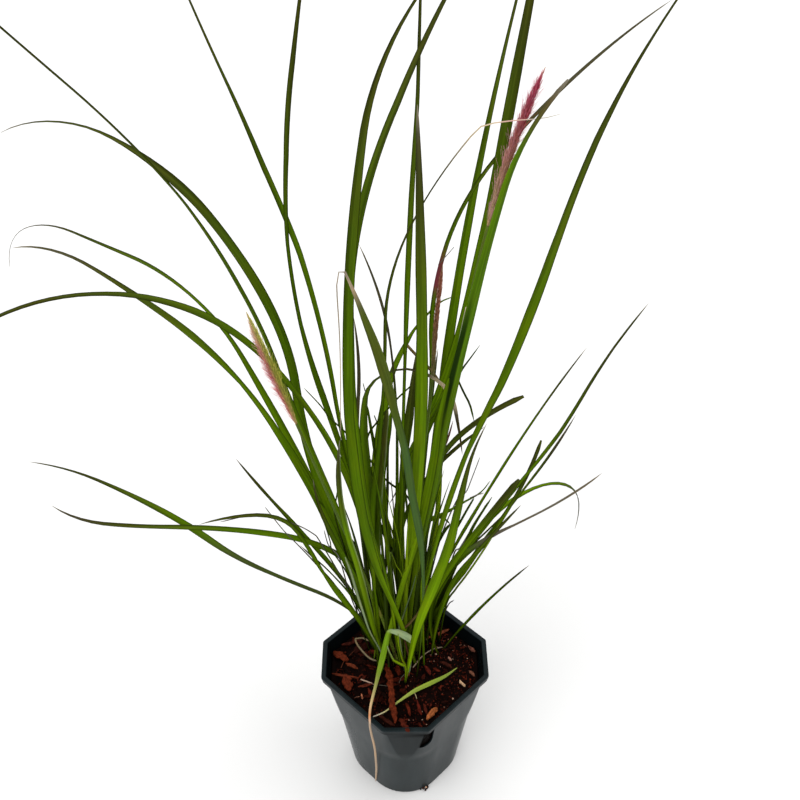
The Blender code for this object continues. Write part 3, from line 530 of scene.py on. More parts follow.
# Smaller blades and threads, each from a tiller through places of the picture (x, y and width in px) to a tip
# this far away in mm: (tiller, tip, places, colours from root to tip)
GREEN_RUN = (MID_GREEN, FRESH_GREEN, MID_GREEN, MID_GREEN)
DARK_RUN = (DARK_GREEN, DARK_GREEN, DEEP_GREEN)
GREY_RUN = (WARM_GREY, PALE_GREY, PALE_GREY)
LIME_RUN = (FRESH_GREEN, LIME_GREEN, FRESH_GREEN)
SHEATH_RUN = (RED_BROWN, OLIVE_BROWN, OLIVE_BROWN)
HEART_BLADES = (
    ((-3, -4), 5, (
        (384, 655, 4.5), (393, 620, 5.5), (404, 580, 6), (411, 558, 6.5), (418, 535, 7.5), (424, 508, 9),
        (430, 478, 9), (435, 450, 8), (439, 422, 6.5), (444, 398, 5), (449, 378, 3),
    ), GREEN_RUN),
    ((-2, 4), 60, (
        (383, 600, 4), (377, 560, 5), (373, 525, 5), (373, 490, 6), (376, 458, 8), (381, 425, 9),
        (386, 398, 8), (392, 374, 6), (399, 357, 5.5), (407, 342, 4.5), (417, 326, 2.6), (438, 304, 1.8),
        (452, 297, 1.2),
    ), GREEN_RUN),
    ((-3, 4), 50, (
        (379, 600, 3), (374, 560, 3.5), (371, 530, 4), (373, 500, 4.5), (377, 468, 4), (374, 445, 3.5),
        (371, 428, 3), (367, 405, 2),
    ), DARK_RUN),
    ((0, 5), 50, (
        (404, 590, 5), (402, 555, 6), (401, 520, 6.5), (402, 490, 7), (404, 460, 7), (407, 432, 7.5),
        (411, 405, 7.5), (414, 385, 6), (417, 368, 4),
    ), LIME_RUN),
    ((0, 6), 60, (
        (401, 610, 6), (398, 580, 6.5), (392, 552, 7), (386, 525, 7), (382, 500, 6.5), (382, 480, 6),
        (385, 455, 6), (389, 430, 5), (391, 412, 3),
    ), GREEN_RUN),
    ((2, 5), 30, (
        (408, 585, 2.5), (400, 565, 3), (392, 551, 3), (385, 537, 3), (379, 521, 3), (371, 503, 2.8),
        (364, 492, 2.5), (355, 475, 2), (347, 462, 1.5),
    ), DARK_RUN),
    ((0, 7), 50, (
        (412, 600, 4), (414, 560, 5), (418, 535, 5), (425, 522, 5), (434, 518, 5), (443, 514, 3.5),
        (454, 508, 2.5), (466, 501, 2), (477, 495, 1.6), (484, 489, 1.2), (490, 481, 0.9),
    ), GREEN_RUN),
    ((3, 3), 35, (
        (436, 600, 2.5), (444, 565, 2.5), (452, 537, 2.5), (459, 524, 2.4), (468, 508, 2.2), (474, 498, 1.6),
    ), DARK_RUN),
    ((2, 5), 45, ((421, 600, 3), (424, 575, 3), (433, 553, 3.5), (442, 535, 3.5), (450, 524, 2.5)), DARK_RUN),
    ((3, 3), 38, (
        (426, 600, 5), (429, 570, 5.5), (433, 545, 5.5), (437, 515, 5), (439, 490, 5), (440, 468, 4.5),
        (443, 445, 4), (447, 420, 3),
    ), LIME_RUN),
    ((0, 3), 38, (
        (400, 600, 3), (399, 560, 3.2), (399, 520, 3.4), (401, 480, 3.6), (410, 452, 4), (421, 432, 4.4),
        (433, 413, 4.2), (443, 394, 3.4), (450, 380, 2),
    ), GREEN_RUN),
    ((-3, -4), -14, (
        (382, 655, 2), (370, 632, 2), (363, 612, 2.5), (356, 590, 2.8), (351, 573, 2.5), (345, 557, 2),
    ), (GREY_GREEN, PALE_GREEN, PALE_GREEN)),
    ((4, 1), 8, (
        (433, 615, 3.5), (438, 603, 4), (445, 590, 4.5), (455, 566, 4.5), (465, 545, 4), (474, 525, 3),
        (492, 497, 1.5),
    ), DARK_RUN),
    ((4, 1), 4, (
        (446, 605, 2), (455, 590, 2), (465, 577, 2), (477, 560, 2), (490, 540, 1.8), (500, 522, 1.5),
    ), LIME_RUN),
    ((-5, 1), 30, (
        (376, 616, 3), (370, 600, 3), (358, 552, 3), (345, 533, 3), (330, 512, 2.5), (315, 497, 2),
    ), DARK_RUN),
    ((1, -4), 0, (
        (404, 634, 2.2), (410, 623, 2.6), (418, 613, 2.5), (424, 600, 2.5), (427, 585, 2),
    ), SHEATH_RUN),
    ((0, -4), 0, (
        (399, 630, 2), (402, 620, 2), (407, 605, 1.6), (412, 590, 1.3), (416, 575, 0.9),
    ), (PALE_GREEN, GREY_GREEN, GREY_GREEN)),
)
HEART_THREADS = (
    ((-4, 3), 45, (
        (372, 600, 1.5), (366, 560, 1.8), (363, 510, 1.8), (364, 460, 2), (368, 436, 2), (378, 421, 1.8),
        (395, 401, 1.8), (414, 383, 1.5), (425, 372, 1),
    ), DARK_RUN),
    ((2, 4), 40, (
        (418, 600, 1.5), (415, 550, 1.8), (412, 515, 1.8), (409, 499, 2), (398, 489, 2.2), (385, 479, 2),
        (366, 455, 2), (345, 432, 1.8), (330, 418, 1.5), (320, 405, 1.3), (304, 388, 0.9),
    ), DARK_RUN),
    ((-1, 5), 45, (
        (396, 600, 2), (389, 560, 2), (387, 520, 2), (388, 490, 1.8), (388, 460, 1.6), (389, 440, 1.2),
    ), DARK_RUN),
    ((-2, 5), 44, (
        (400, 590, 1), (396, 545, 1.2), (395, 530, 1.2), (393, 502, 1.2), (391, 480, 1),
    ), GREY_RUN),
    ((4, 2), 34, (
        (452, 560, 1.5), (460, 548, 1.5), (468, 535, 1.5), (478, 518, 1.3), (487, 503, 1),
    ), GREY_RUN),
    ((4, 2), 30, ((447, 607, 1.3), (454, 600, 1)), GREY_RUN),
    ((0, -4), 2, (
        (390, 560, 1.1), (397, 567, 1.1), (402, 576, 1.1), (403, 590, 1.1),
    ), (GREY_GREEN, LIME_GREEN, LIME_GREEN)),
    ((-2, -3), -2, ((394.8, 656, 1.5), (395.6, 648.8, 1.5), (395.3, 636, 1.2)), (OLIVE_BROWN, OLIVE_BROWN)),
    ((0, -6), -17, (
        (406, 668, 2.2), (402.5, 660, 2.2), (400, 651, 2), (398.5, 643, 2), (398, 634, 1.8),
    ), LIME_RUN),
    ((0, -6), -20, (
        (406.3, 668, 2.4), (401, 664.4, 3), (393.8, 660.6, 2.6), (391.3, 656, 2.2), (388.8, 651, 1.8),
        (387.3, 645.6, 1.2),
    ), (LIME_GREEN, LIME_GREEN, PALE_GREEN)),
    ((-4, -2), -2, (
        (360, 624, 1.2), (350, 580, 1.4), (333, 552, 1.3), (330, 541, 1.2), (325, 525, 1.1), (320, 514, 0.9),
    ), DARK_RUN),
    ((-4, 0), 10, (
        (352, 600, 1.2), (340, 560, 1.3), (333, 550, 1.3), (328, 544, 1.1), (324, 530, 0.9),
    ), GREY_RUN),
    ((-4, 0), 20, (
        (362, 610, 1.4), (348, 560, 1.5), (336, 520, 1.6), (335, 508, 1.5), (338, 488, 1.4), (341, 466, 1),
    ), DARK_RUN),
    ((-4, 2), 30, (
        (366, 610, 1.2), (356, 560, 1.3), (347, 530, 1.3), (344, 518, 1.2), (342, 504, 0.9),
    ), DARK_RUN),
    ((-3, -2), -10, (
        (352, 597, 1.5), (322, 545, 1.2), (312, 533, 1.1), (289, 522, 1), (257, 515, 1), (220, 522, 0.9),
    ), (DEEP_GREEN, WARM_GREY, WARM_GREY)),
    ((-4, -1), -8, (
        (340, 592, 1.5), (315, 563, 1.4), (298, 545, 1.1), (285, 532, 1), (275, 520, 1), (265, 507, 0.9),
    ), (DEEP_GREEN, WARM_GREY, PALE_GREY)),
    ((1, 6), 60, (
        (424, 600, 1.5), (440, 540, 1.5), (457, 500, 1.2), (466, 492, 1.1), (472, 478, 1), (480, 457, 0.9),
    ), (DEEP_GREEN, PALE_GREY, PALE_GREY)),
)

# Strands that leave a blade at the first place, this far away in mm
STRANDS = (
    (54, (
        (406, 344, 3), (416, 355, 3), (429, 368, 3), (437, 378, 2.6), (443, 387, 1.6),
    ), (OLIVE_BROWN, OLIVE_BROWN)),
    (38, ((397, 490, 1.3), (394, 496, 1.2), (390, 503, 0.9)), GREY_RUN),
    (40, ((378, 425, 1.3), (374, 415, 1.1)), DARK_RUN),
    (30, ((457, 378, 2), (464, 393, 2.2), (470, 405, 2.2), (474, 421, 1.6)), DARK_RUN),
    (30, ((456, 380, 2.2), (463, 368, 2), (469, 360, 1.6), (480, 345, 0.9)), DARK_RUN),
    (36, (
        (438, 470, 1.2), (441, 458, 1.4), (445, 447, 1.5), (449, 435, 2), (453, 421, 1.2),
    ), (RED_BROWN, RED_BROWN, (0.2, 0.1, 0.09))),
    (44, ((434, 518, 2), (441, 518, 2), (446, 520, 2), (450, 524, 1.2)), DARK_RUN),
    (46, ((470, 498, 1.2), (477, 495, 1.2), (484, 493, 0.9)), GREY_RUN),
    (12, (
        (466, 307, 0.9), (463, 320, 0.9), (458, 345, 0.9), (452, 380, 0.7),
    ), (DRY_CREAM, PALE_GREEN, PALE_GREEN)),
    (20, ((454, 247, 0.7), (448, 254, 0.8), (438, 265, 0.8)), (PALE_GREY, WARM_GREY)),
    (10, ((365, 391, 1), (364, 387, 1), (363, 383, 0.8)), DARK_RUN),
)
# Straws that lie on the soil: places of the picture, height over the soil in mm, width in mm, colour
STRAWS = (
    (((360.6, 679.4), (367, 681.6), (374, 684.4)), 1.6, 1.2, (0.40, 0.28, 0.18)),
    (((379, 685), (383, 685.4), (388, 686)), 1.2, 0.5, WARM_GREY),
    (((355, 639), (357.5, 645), (365, 654), (371, 659), (377.5, 661)), 2.5, 1.6, (0.20, 0.16, 0.08)),
    (((355, 638.8), (362.5, 638), (369, 641)), 3.0, 1.4, (0.20, 0.16, 0.08)),
    (((413, 667.5), (422.5, 656), (432.5, 649.4), (442.5, 647)), 5.0, 1.1, (0.28, 0.23, 0.15)),
    (((399, 683), (401, 678), (405, 674)), 1.6, 0.6, WARM_GREY),
    (((414, 692), (415.5, 695), (417, 699)), 2.4, 0.7, (0.34, 0.30, 0.16)),
    (((341, 668), (344, 661), (350, 655), (355, 650)), 1.5, 0.6, (0.10, 0.030, 0.014)),
)


# ---------------------------------------------------------------- helpers


def rng(seed):
    return np.random.default_rng(seed)


def to_pot_frame(points):
    """Points of the clump's frame, turned into the pot's."""
    cos, sin = math.cos(CLUMP_TURN), math.sin(CLUMP_TURN)
    points = np.asarray(points, dtype=float)
    turned = np.array(points)
    turned[..., 0] = cos * points[..., 0] - sin * points[..., 1]
    turned[..., 1] = sin * points[..., 0] + cos * points[..., 1]
    return turned


def new_object(name, points, faces, material, smooth=True, **attributes):
    """One mesh piece, with attributes of its points: one number each, three, or four as a colour."""
    mesh = bpy.data.meshes.new(name)
    mesh.from_pydata(np.asarray(points).tolist(), [], faces)
    mesh.validate()
    for key, values in attributes.items():
        values = np.asarray(values, dtype=np.float32)
        if values.ndim == 1:
            mesh.attributes.new(key, "FLOAT", "POINT").data.foreach_set("value", values)
        elif values.shape[1] == 3:
            mesh.attributes.new(key, "FLOAT_VECTOR", "POINT").data.foreach_set("vector", values.ravel())
        else:
            mesh.attributes.new(key, "FLOAT_COLOR", "POINT").data.foreach_set("color", values.ravel())
    work = bmesh.new()
    work.from_mesh(mesh)
    bmesh.ops.recalc_face_normals(work, faces=work.faces)
    work.to_mesh(mesh)
    work.free()
    mesh.polygons.foreach_set("use_smooth", [smooth] * len(mesh.polygons))
    mesh.materials.append(material)
    obj = bpy.data.objects.new(name, mesh)
    bpy.context.scene.collection.objects.link(obj)
    return obj


def place_piece(obj, slot, *nodes):
    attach(obj, "root")
    if nodes:
        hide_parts(*nodes)
    return obj


def lerp(a, b, t):
    a, b, t = np.asarray(a, float), np.asarray(b, float), np.asarray(t, float)
    if a.ndim and t.ndim:
        t = t[..., None]
    return a + (b - a) * t


def ramp(value, low, high):
    return np.clip((np.asarray(value, float) - low) / (high - low), 0.0, 1.0)


def at_shares(share, stops, rows):
    """The rows of a table, given at these stops, read at these shares."""
    return np.stack([np.interp(share, stops, column) for column in np.asarray(rows, float).T], axis=-1)


def run_colour(share, colours):
    """The colour at these shares of a run of evenly spaced colours."""
    return at_shares(share, np.linspace(0, 1, len(colours)), colours)


def unit(vectors):
    return vectors / np.linalg.norm(vectors, axis=1)[:, None]


def directions_along(points):
    return unit(np.gradient(points, axis=0))


def path_length(points):
    return float(np.linalg.norm(np.diff(points, axis=0), axis=1).sum())


def with_alpha(colours):
    return np.concatenate([colours, np.ones((len(colours), 1))], axis=1)


def ring_faces(rows, columns):
    """Quads over rings of points."""
    faces = []
    for row in range(rows - 1):
        for column in range(columns):
            here = row * columns + column
            beside = row * columns + (column + 1) % columns
            faces.append((here, beside, beside + columns, here + columns))
    return faces


def closed_skin(rows, columns):
    """The faces over rings of points, with one face over each end."""
    last = (rows - 1) * columns
    return ring_faces(rows, columns) + [tuple(range(columns))[::-1], tuple(range(last, last + columns))]


# ---------------------------------------------------------------- camera, light and floor


def camera_axes():
    """Right, up and forward of the camera, in the clump's frame."""
    forward = Vector((0, math.cos(CAMERA_PITCH), math.sin(CAMERA_PITCH)))
    right = Vector((1, 0, 0))
    up = right.cross(forward)
    rolled_right = right * math.cos(CAMERA_ROLL) - up * math.sin(CAMERA_ROLL)
    rolled_up = up * math.cos(CAMERA_ROLL) + right * math.sin(CAMERA_ROLL)
    return rolled_right, rolled_up, forward


def build_camera():
    right, up, forward = camera_axes()
    matrix = Matrix((right, up, -forward)).transposed().to_4x4()
    matrix.translation = Vector(CAMERA_AT)
    data = bpy.data.cameras.new("Camera")
    data.sensor_width = SENSOR
    data.lens = LENS
    camera = bpy.data.objects.new("Camera", data)
    camera.matrix_world = Matrix.Rotation(CLUMP_TURN, 4, "Z") @ matrix
    bpy.context.scene.collection.objects.link(camera)
    bpy.context.scene.camera = camera


def picture_ray(px, py):
    """Along the camera's ray through this place of the picture, in the clump's frame."""
    right, up, forward = (np.array(axis) for axis in camera_axes())
    return forward * FOCAL + right * (px - PICTURE / 2) - up * (py - PICTURE / 2)


def photo_point(px, py, away):
    """Where the ray through this place of the picture crosses the upright plane v = away (mm)."""
    ray = picture_ray(px, py)
    return CAMERA_AT + ray * (away * MM - CAMERA_AT[1]) / ray[1]


def level_point(px, py, height):
    """Where the ray through this place of the picture crosses this height."""
    ray = picture_ray(px, py)
    return CAMERA_AT + ray * (height - CAMERA_AT[2]) / ray[2]


def px_size(points):
    """How large one px of the picture is at these points, in m."""
    return (points - CAMERA_AT) @ np.array(camera_axes()[2]) / FOCAL


def add_sun(name, place, strength, spread):
    """A soft light that shines from this direction of the clump's frame onto the pot."""
    data = bpy.data.lights.new(name, "SUN")
    data.energy = strength
    data.angle = math.radians(spread)
    light = bpy.data.objects.new(name, data)
    light.rotation_euler = (-Vector(to_pot_frame(place))).to_track_quat("-Z", "Y").to_euler()
    bpy.context.scene.collection.objects.link(light)


def build_studio():
    look = Look("Studio_Floor")
    look.finish(FLOOR_COLOUR, FLOOR_ROUGHNESS, FLOOR_SPECULAR)
    corners = [(x * FLOOR_HALF, y * FLOOR_HALF, 0) for x, y in ((-1, -1), (1, -1), (1, 1), (-1, 1))]
    floor = new_object("Studio_Floor", corners, [(0, 1, 2, 3)], look.material, smooth=False)
    floor.location.z = -FLOOR_UNDER
    world = bpy.data.worlds.new("Studio")
    world.use_nodes = True
    background = world.node_tree.nodes["Background"]
    background.inputs["Color"].default_value = (1.0, 1.0, 1.0, 1)
    background.inputs["Strength"].default_value = SKY_STRENGTH
    bpy.context.scene.world = world
    for sun in SUNS:
        add_sun(*sun)
    bpy.context.scene.view_settings.view_transform = "Standard"


# ---------------------------------------------------------------- materials


class Look:
    """A material and the nodes that feed its shader."""

    def __init__(self, name):
        self.material = bpy.data.materials.new(name)
        self.material.use_nodes = True
        self.nodes, self.links = self.material.node_tree.nodes, self.material.node_tree.links
        self.shader = self.nodes["Principled BSDF"]

    def feed(self, socket, value):
        """Gives a socket a number, a vector, a colour or another node's output."""
        if isinstance(value, (int, float)):
            socket.default_value = value
        elif isinstance(value, tuple):
            socket.default_value = (*value, 1) if len(socket.default_value) > len(value) else value
        else:
            self.links.new(value, socket)

    def node(self, kind, output, inputs, **settings):
        node = self.nodes.new(kind)
        for key, value in settings.items():
            setattr(node, key, value)
        for key, value in inputs.items():
            self.feed(node.inputs[key], value)
        return node.outputs[output]

    def calc(self, operation, *values):
        return self.node("ShaderNodeMath", 0, dict(enumerate(values)), operation=operation)

    def mix(self, factor, first, second, blend="MIX"):
        return self.node("ShaderNodeMix", 2, {0: factor, 6: first, 7: second}, data_type="RGBA",
                         blend_type=blend)

    def times(self, first, second):
        return self.mix(1.0, first, second, "MULTIPLY")

    def attribute(self, name, output="Vector"):
        return self.node("ShaderNodeAttribute", output, {}, attribute_name=name)

    def place(self):
        return self.node("ShaderNodeTexCoord", "Object", {})

    def scaled(self, vector, scale):
        return self.node("ShaderNodeVectorMath", 0, {0: vector, 1: scale}, operation="MULTIPLY")

    def noise(self, vector, scale, detail=3.0, roughness=0.55):
        inputs = {"Vector": vector, "Scale": scale, "Detail": detail, "Roughness": roughness}
        return self.node("ShaderNodeTexNoise", "Fac", inputs)

    def span(self, value, low, high, to_low, to_high):
        """A number's range turned into another range."""
        return self.node("ShaderNodeMapRange", 0, dict(enumerate((value, low, high, to_low, to_high))))

    def bump(self, height, strength, distance):
        return self.node("ShaderNodeBump", 0, {"Height": height, "Strength": strength, "Distance": distance})

    def finish(self, colour, roughness, specular, normal=None):
        self.feed(self.shader.inputs["Base Color"], colour)
        self.feed(self.shader.inputs["Roughness"], roughness)
        self.feed(self.shader.inputs["Specular IOR Level"], specular)
        if normal is not None:
            self.feed(self.shader.inputs["Normal"], normal)


def blade_material(name, specular, translucent):
    """Grass: the tint is the blade's colour with painted shade in it, low down in the clump and on one half
    of each blade, with fine parallel veins and long soft streaks over it.
    The attribute grain is (mm across the blade, mm along it, the blade's number)."""
    look = Look(name)
    grain = look.attribute("grain")
    across = look.node("ShaderNodeSeparateXYZ", 0, {0: grain})
    wave = look.calc("SINE", look.calc("MULTIPLY", across, VEIN_PITCH))
    streak = look.noise(look.scaled(grain, (0.62, 0.016, 3.1)), 1.0, 3.0)
    cloud = look.noise(look.scaled(grain, (0.12, 0.04, 1.7)), 1.0, 2.0)
    shade = look.calc("MULTIPLY", look.span(wave, -1, 1, 0.86, 1.1), look.span(streak, 0.3, 0.7, 0.70, 1.28))
    toned = look.times(look.attribute("tint", "Color"), shade)
    colour = look.mix(look.span(cloud, 0.45, 0.75, 0, 0.7), toned, look.times(toned, YELLOWED))
    look.finish(colour, look.span(streak, 0.3, 0.7, 0.42, 0.6), specular, look.bump(wave, 0.25, 0.05 * MM))
    if translucent:
        through = look.node("ShaderNodeBsdfTranslucent", 0, {"Color": look.times(colour, LIT_THROUGH)})
        both = look.node("ShaderNodeMixShader", 0, {0: translucent, 1: look.shader.outputs[0], 2: through})
        look.feed(look.nodes["Material Output"].inputs["Surface"], both)
    return look.material


def bristle_material():
    look = Look("Spike_Bristle")
    shade = look.span(look.noise(look.place(), 900.0, 2.0), 0.3, 0.7, 0.8, 1.2)
    look.finish(look.times(look.attribute("tint", "Color"), shade), 0.6, 0.25)
    return look.material


def pot_material():
    """Thin anthracite plastic: faint upright streaks, soft smears of dust and a fine moulded grain.
    The attribute shade is how much of its light each place keeps."""
    look = Look("Pot_Plastic")
    place = look.place()
    streak = look.noise(look.scaled(place, (1, 1, 0.07)), 150.0, 4.0, 0.6)
    smear = look.noise(look.scaled(place, (1, 1, 0.35)), 38.0, 3.0)
    fine = look.noise(place, 2200.0, 2.0)
    kept = look.attribute("shade", "Fac")
    base = look.mix(look.span(smear, 0.4, 0.72, 0, 1), POT_CLEAN, POT_DUSTY)
    shade = look.calc("MULTIPLY", look.span(streak, 0.3, 0.7, 0.78, 1.22), kept)
    height = look.calc("ADD", look.calc("MULTIPLY", fine, 0.25), streak)
    look.finish(look.times(base, shade), look.span(smear, 0.35, 0.7, 0.26, 0.38),
                look.calc("MULTIPLY", kept, POT_SPECULAR), look.bump(height, 0.2, 0.15 * MM))
    return look.material


def bark_material():
    """Composted bark: the tint is each chip's own, and on the bed it is darkened in the low places and down
    the side as painted shade, with fibres along it and dark damp hollows.
    """
    look = Look("Bark")
    grain = look.attribute("grain")
    fibre = look.noise(look.scaled(grain, (0.25, 1.6, 1.6)), 1.0, 4.0, 0.65)
    damp = look.noise(look.scaled(grain, (0.35, 0.35, 0.35)), 1.0, 3.0)
    shade = look.calc("MULTIPLY", look.span(fibre, 0.3, 0.7, 0.5, 1.5),
                      look.span(damp, 0.35, 0.65, 0.6, 1.25))
    look.finish(look.times(look.attribute("tint", "Color"), shade), look.span(damp, 0.35, 0.65, 0.5, 0.85),
                BARK_SPECULAR, look.bump(fibre, 0.6, 0.3 * MM))
    return look.material


# ---------------------------------------------------------------- pot


def taper(height):
    """Half the pot's width, and how much is cut off its corners, at this height."""
    share = height / POT_HEIGHT
    base_cut = BASE_CORNER_RADIUS * (1 - OCTAGON)
    half = BASE_HALF + (TOP_HALF - BASE_HALF) * share
    return half, base_cut + (RIM_CORNER_CUT - base_cut) * share


def fillet_at(height, cut):
    """The radius beside the corner's facet: the facet grows out of a round corner towards the rim."""
    facet = cut * math.sqrt(2) / 2
    above = (height - (POT_HEIGHT - FACET_DEPTH)) / FACET_DEPTH
    rim_width = facet - RIM_FILLET * OCTAGON
    straight = max(rim_width * math.sqrt(max(above, 0.0)), LEAST_FACET * facet)
    return (facet - straight) / OCTAGON


def section(height, inset):
    """One closed outline of the pot, moved inwards by the inset, at this height."""
    half, cut = taper(height)
    fillet = max(fillet_at(height, cut) - inset, LEAST_FILLET)
    half -= inset
    cut -= inset * (2 - math.sqrt(2))
    fillet = min(fillet, 0.99 * cut / (1 - OCTAGON))
    trim = fillet * OCTAGON
    outline = []
    for quarter in range(4):
        cos, sin = math.cos(quarter * math.pi / 2), math.sin(quarter * math.pi / 2)
        for centre, start in (
            ((half - fillet, half - cut - trim), 0.0),
            ((half - cut - trim, half - fillet), math.pi / 4),
        ):
            for step in range(ARC_STEPS + 1):
                angle = start + math.pi / 4 * step / ARC_STEPS
                x = centre[0] + fillet * math.cos(angle)
                y = centre[1] + fillet * math.sin(angle)
                outline.append((cos * x - sin * y, sin * x + cos * y, height))
    return outline


def lip_rings(wall_inset, band):
    """The lip's outlines, with a pair of rings at each edge, so that edges catch light as if rounded."""
    top = POT_HEIGHT
    under, hang = top - WALL, top - LIP_DROP
    turn, bend = LIP_TURN, LIP_ROUND * 0.3
    rows = (
        (band + BAND_STEP, wall_inset), (under - turn, wall_inset), (under, wall_inset - turn),
        (under, WALL + turn), (under - turn, WALL), (hang + turn, WALL), (hang, WALL - turn), (hang, turn),
        (hang + turn, 0.0), (top - LIP_ROUND * 2, 0.0), (top - LIP_ROUND, LIP_EASE),
        (top - bend, bend), (top, LIP_ROUND), (top, LIP_WIDTH - LIP_ROUND),
        (top - bend, LIP_WIDTH - bend), (top - LIP_ROUND, LIP_WIDTH),
    )
    return [section(height, inset) for height, inset in rows]


def pot_rings():
    """The pot's outlines: up the outside, over the lip and down the inside."""
    slope = LIP_WIDTH - WALL + BAND_STEP
    band = POT_HEIGHT - BAND_DROP
    rings = [section(FOOT_BEVEL * up, FOOT_BEVEL * inset) for up, inset in FOOT_ROUND]
    for share in (FOOT_EDGE, *(level / WALL_LEVELS for level in range(1, WALL_LEVELS + 1))):
        rings.append(section(FOOT_BEVEL + (band - FOOT_BEVEL) * share, slope * share))
    rings += lip_rings(LIP_WIDTH - WALL, band)
    for level in range(WALL_LEVELS, -1, -1):
        share = level / WALL_LEVELS
        rings.append(section(FLOOR + (band - FLOOR) * share, WALL + slope * share))
    return rings


def loft(rings):
    return [point for ring in rings for point in ring], closed_skin(len(rings), len(rings[0]))


def slot_outline(x):
    """The small hole's outline, square at the top and rounded at its lower right corner."""
    outline = [(x, SLOT_RIGHT, SLOT_TOP), (x, SLOT_LEFT, SLOT_TOP), (x, SLOT_LEFT, SLOT_BOTTOM)]
    for step in range(SLOT_STEPS + 1):
        angle = -math.pi / 2 * (1 - step / SLOT_STEPS)
        y = SLOT_RIGHT - SLOT_ROUND * (1 - math.cos(angle))
        outline.append((x, y, SLOT_BOTTOM + SLOT_ROUND * (1 + math.sin(angle))))
    return outline


def drain_rings(index):
    """A round cutter through the pot's floor."""
    angle = 2 * math.pi * index / DRAIN_COUNT
    rings = []
    for height in (-FLOOR, 2 * FLOOR):
        ring = []
        for step in range(DRAIN_SIDES):
            around = 2 * math.pi * step / DRAIN_SIDES
            x = DRAIN_RING * math.cos(angle) + DRAIN_RADIUS * math.cos(around)
            y = DRAIN_RING * math.sin(angle) + DRAIN_RADIUS * math.sin(around)
            ring.append((x, y, height))
        rings.append(ring)
    return rings


def cut_away(obj, rings):
    cutter = new_object("Cutter", *loft(rings), obj.data.materials[0], smooth=False)
    boolean = obj.modifiers.new("Cut", "BOOLEAN")
    boolean.operation = "DIFFERENCE"
    boolean.solver = "EXACT"
    boolean.object = cutter
    bpy.context.view_layer.update()
    done = bpy.data.meshes.new_from_object(obj.evaluated_get(bpy.context.evaluated_depsgraph_get()))
    obj.modifiers.remove(boolean)
    obj.data = done
    bpy.data.objects.remove(cutter)


def pot_shade(points, normals):
    """How much light each place keeps: facets, lip, inside, hole and foot are darker than the wall."""
    x, y, z = np.abs(points[:, 0]), np.abs(points[:, 1]), points[:, 2]
    half, cut = taper(z)
    fillets = np.array([fillet_at(height, width) for height, width in zip(z, cut)])
    flat = cut * math.sqrt(0.5) - fillets * OCTAGON
    aside = np.abs(x - y) * math.sqrt(0.5)
    facing = (normals[:, :2] * unit(points[:, :2])).sum(axis=1)
    above = ramp(z, POT_HEIGHT - FACET_DEPTH, POT_HEIGHT - FACET_DEPTH + 8 * MM)
    facet = (1 - ramp(aside - flat, 0.1 * MM, 0.6 * MM)) * above * (facing > 0.3)
    shade = lerp(1.0, FACET_KEEPS, facet)
    outer, hang = facing > 0.5, POT_HEIGHT - LIP_DROP
    lip = z > hang - 0.1 * MM
    shade = np.where(lip, LIP_KEEPS, shade)
    shade = np.where(lip & outer, LIP_FACE_KEEPS, shade)
    shade = np.where(lip & (z < hang + 0.5 * MM), LIP_UNDER_KEEPS, shade)
    shade = np.where(outer & (np.abs(z - POT_HEIGHT + LIP_ROUND) < 0.3 * MM), LIP_EDGE_KEEPS, shade)
    inner = (facing < -0.3) & (z < POT_HEIGHT - 0.3 * MM) & (z > FLOOR)
    shade = np.where(inner, INSIDE_KEEPS, shade)
    below = (z > hang - 3.6 * MM) & (z < hang - 0.2 * MM)
    shade = np.where(below & ~inner, BELOW_LIP_KEEPS * shade, shade)
    lean = LIP_WIDTH - WALL + BAND_STEP
    sunk = half - points[:, 0] - lean * ramp(z, FOOT_BEVEL, POT_HEIGHT - BAND_DROP)
    beside = (points[:, 1] > SLOT_LEFT - 0.2 * MM) & (points[:, 1] < SLOT_RIGHT + 0.2 * MM)
    in_slot = beside & (z > SLOT_BOTTOM)
    shade = np.where(in_slot & (points[:, 0] > SLOT_FROM - 1 * MM) & (sunk > 1 * MM), SLOT_KEEPS, shade)
    return np.where(z < FOOT_BEVEL * 1.02, FOOT_KEEPS, shade)


def build_pot():
    pot = new_object("Pot_Wall", *loft(pot_rings()), pot_material())
    cut_away(pot, [slot_outline(SLOT_FROM), slot_outline(SLOT_TO)])
    for index in range(DRAIN_COUNT):
        cut_away(pot, drain_rings(index))
    places = np.array([vertex.co for vertex in pot.data.vertices])
    normals = np.array([vertex.normal for vertex in pot.data.vertices])
    shade = pot.data.attributes.new("shade", "FLOAT", "POINT")
    shade.data.foreach_set("value", pot_shade(places, normals).astype(np.float32))
    pot.data.polygons.foreach_set("use_smooth", [True] * len(pot.data.polygons))
    pot.data.set_sharp_from_angle(angle=math.radians(38))
    place_piece(pot, "pot_plastic", "Pot")


# ---------------------------------------------------------------- soil


def soil_height(x, y):
    """The compost's surface: hummocks of bark, a little higher round the shoots."""
    bumps = sum(high * noise.noise(Vector((x, y, layer)) * pitch) for high, layer, pitch in HUMMOCKS)
    centre = to_pot_frame((*CLUMP_CENTRE, 0))
    crown = CROWN_HIGH * math.exp(-((x - centre[0]) ** 2 + (y - centre[1]) ** 2) / CROWN_WIDE**2)
    return SOIL_TOP + (bumps + crown - SOIL_SINK) * MM


def soil_inset(height):
    share = (height - FLOOR) / (POT_HEIGHT - BAND_DROP - FLOOR)
    return WALL + (LIP_WIDTH - WALL + BAND_STEP) * share + 2 * FIT_GAP


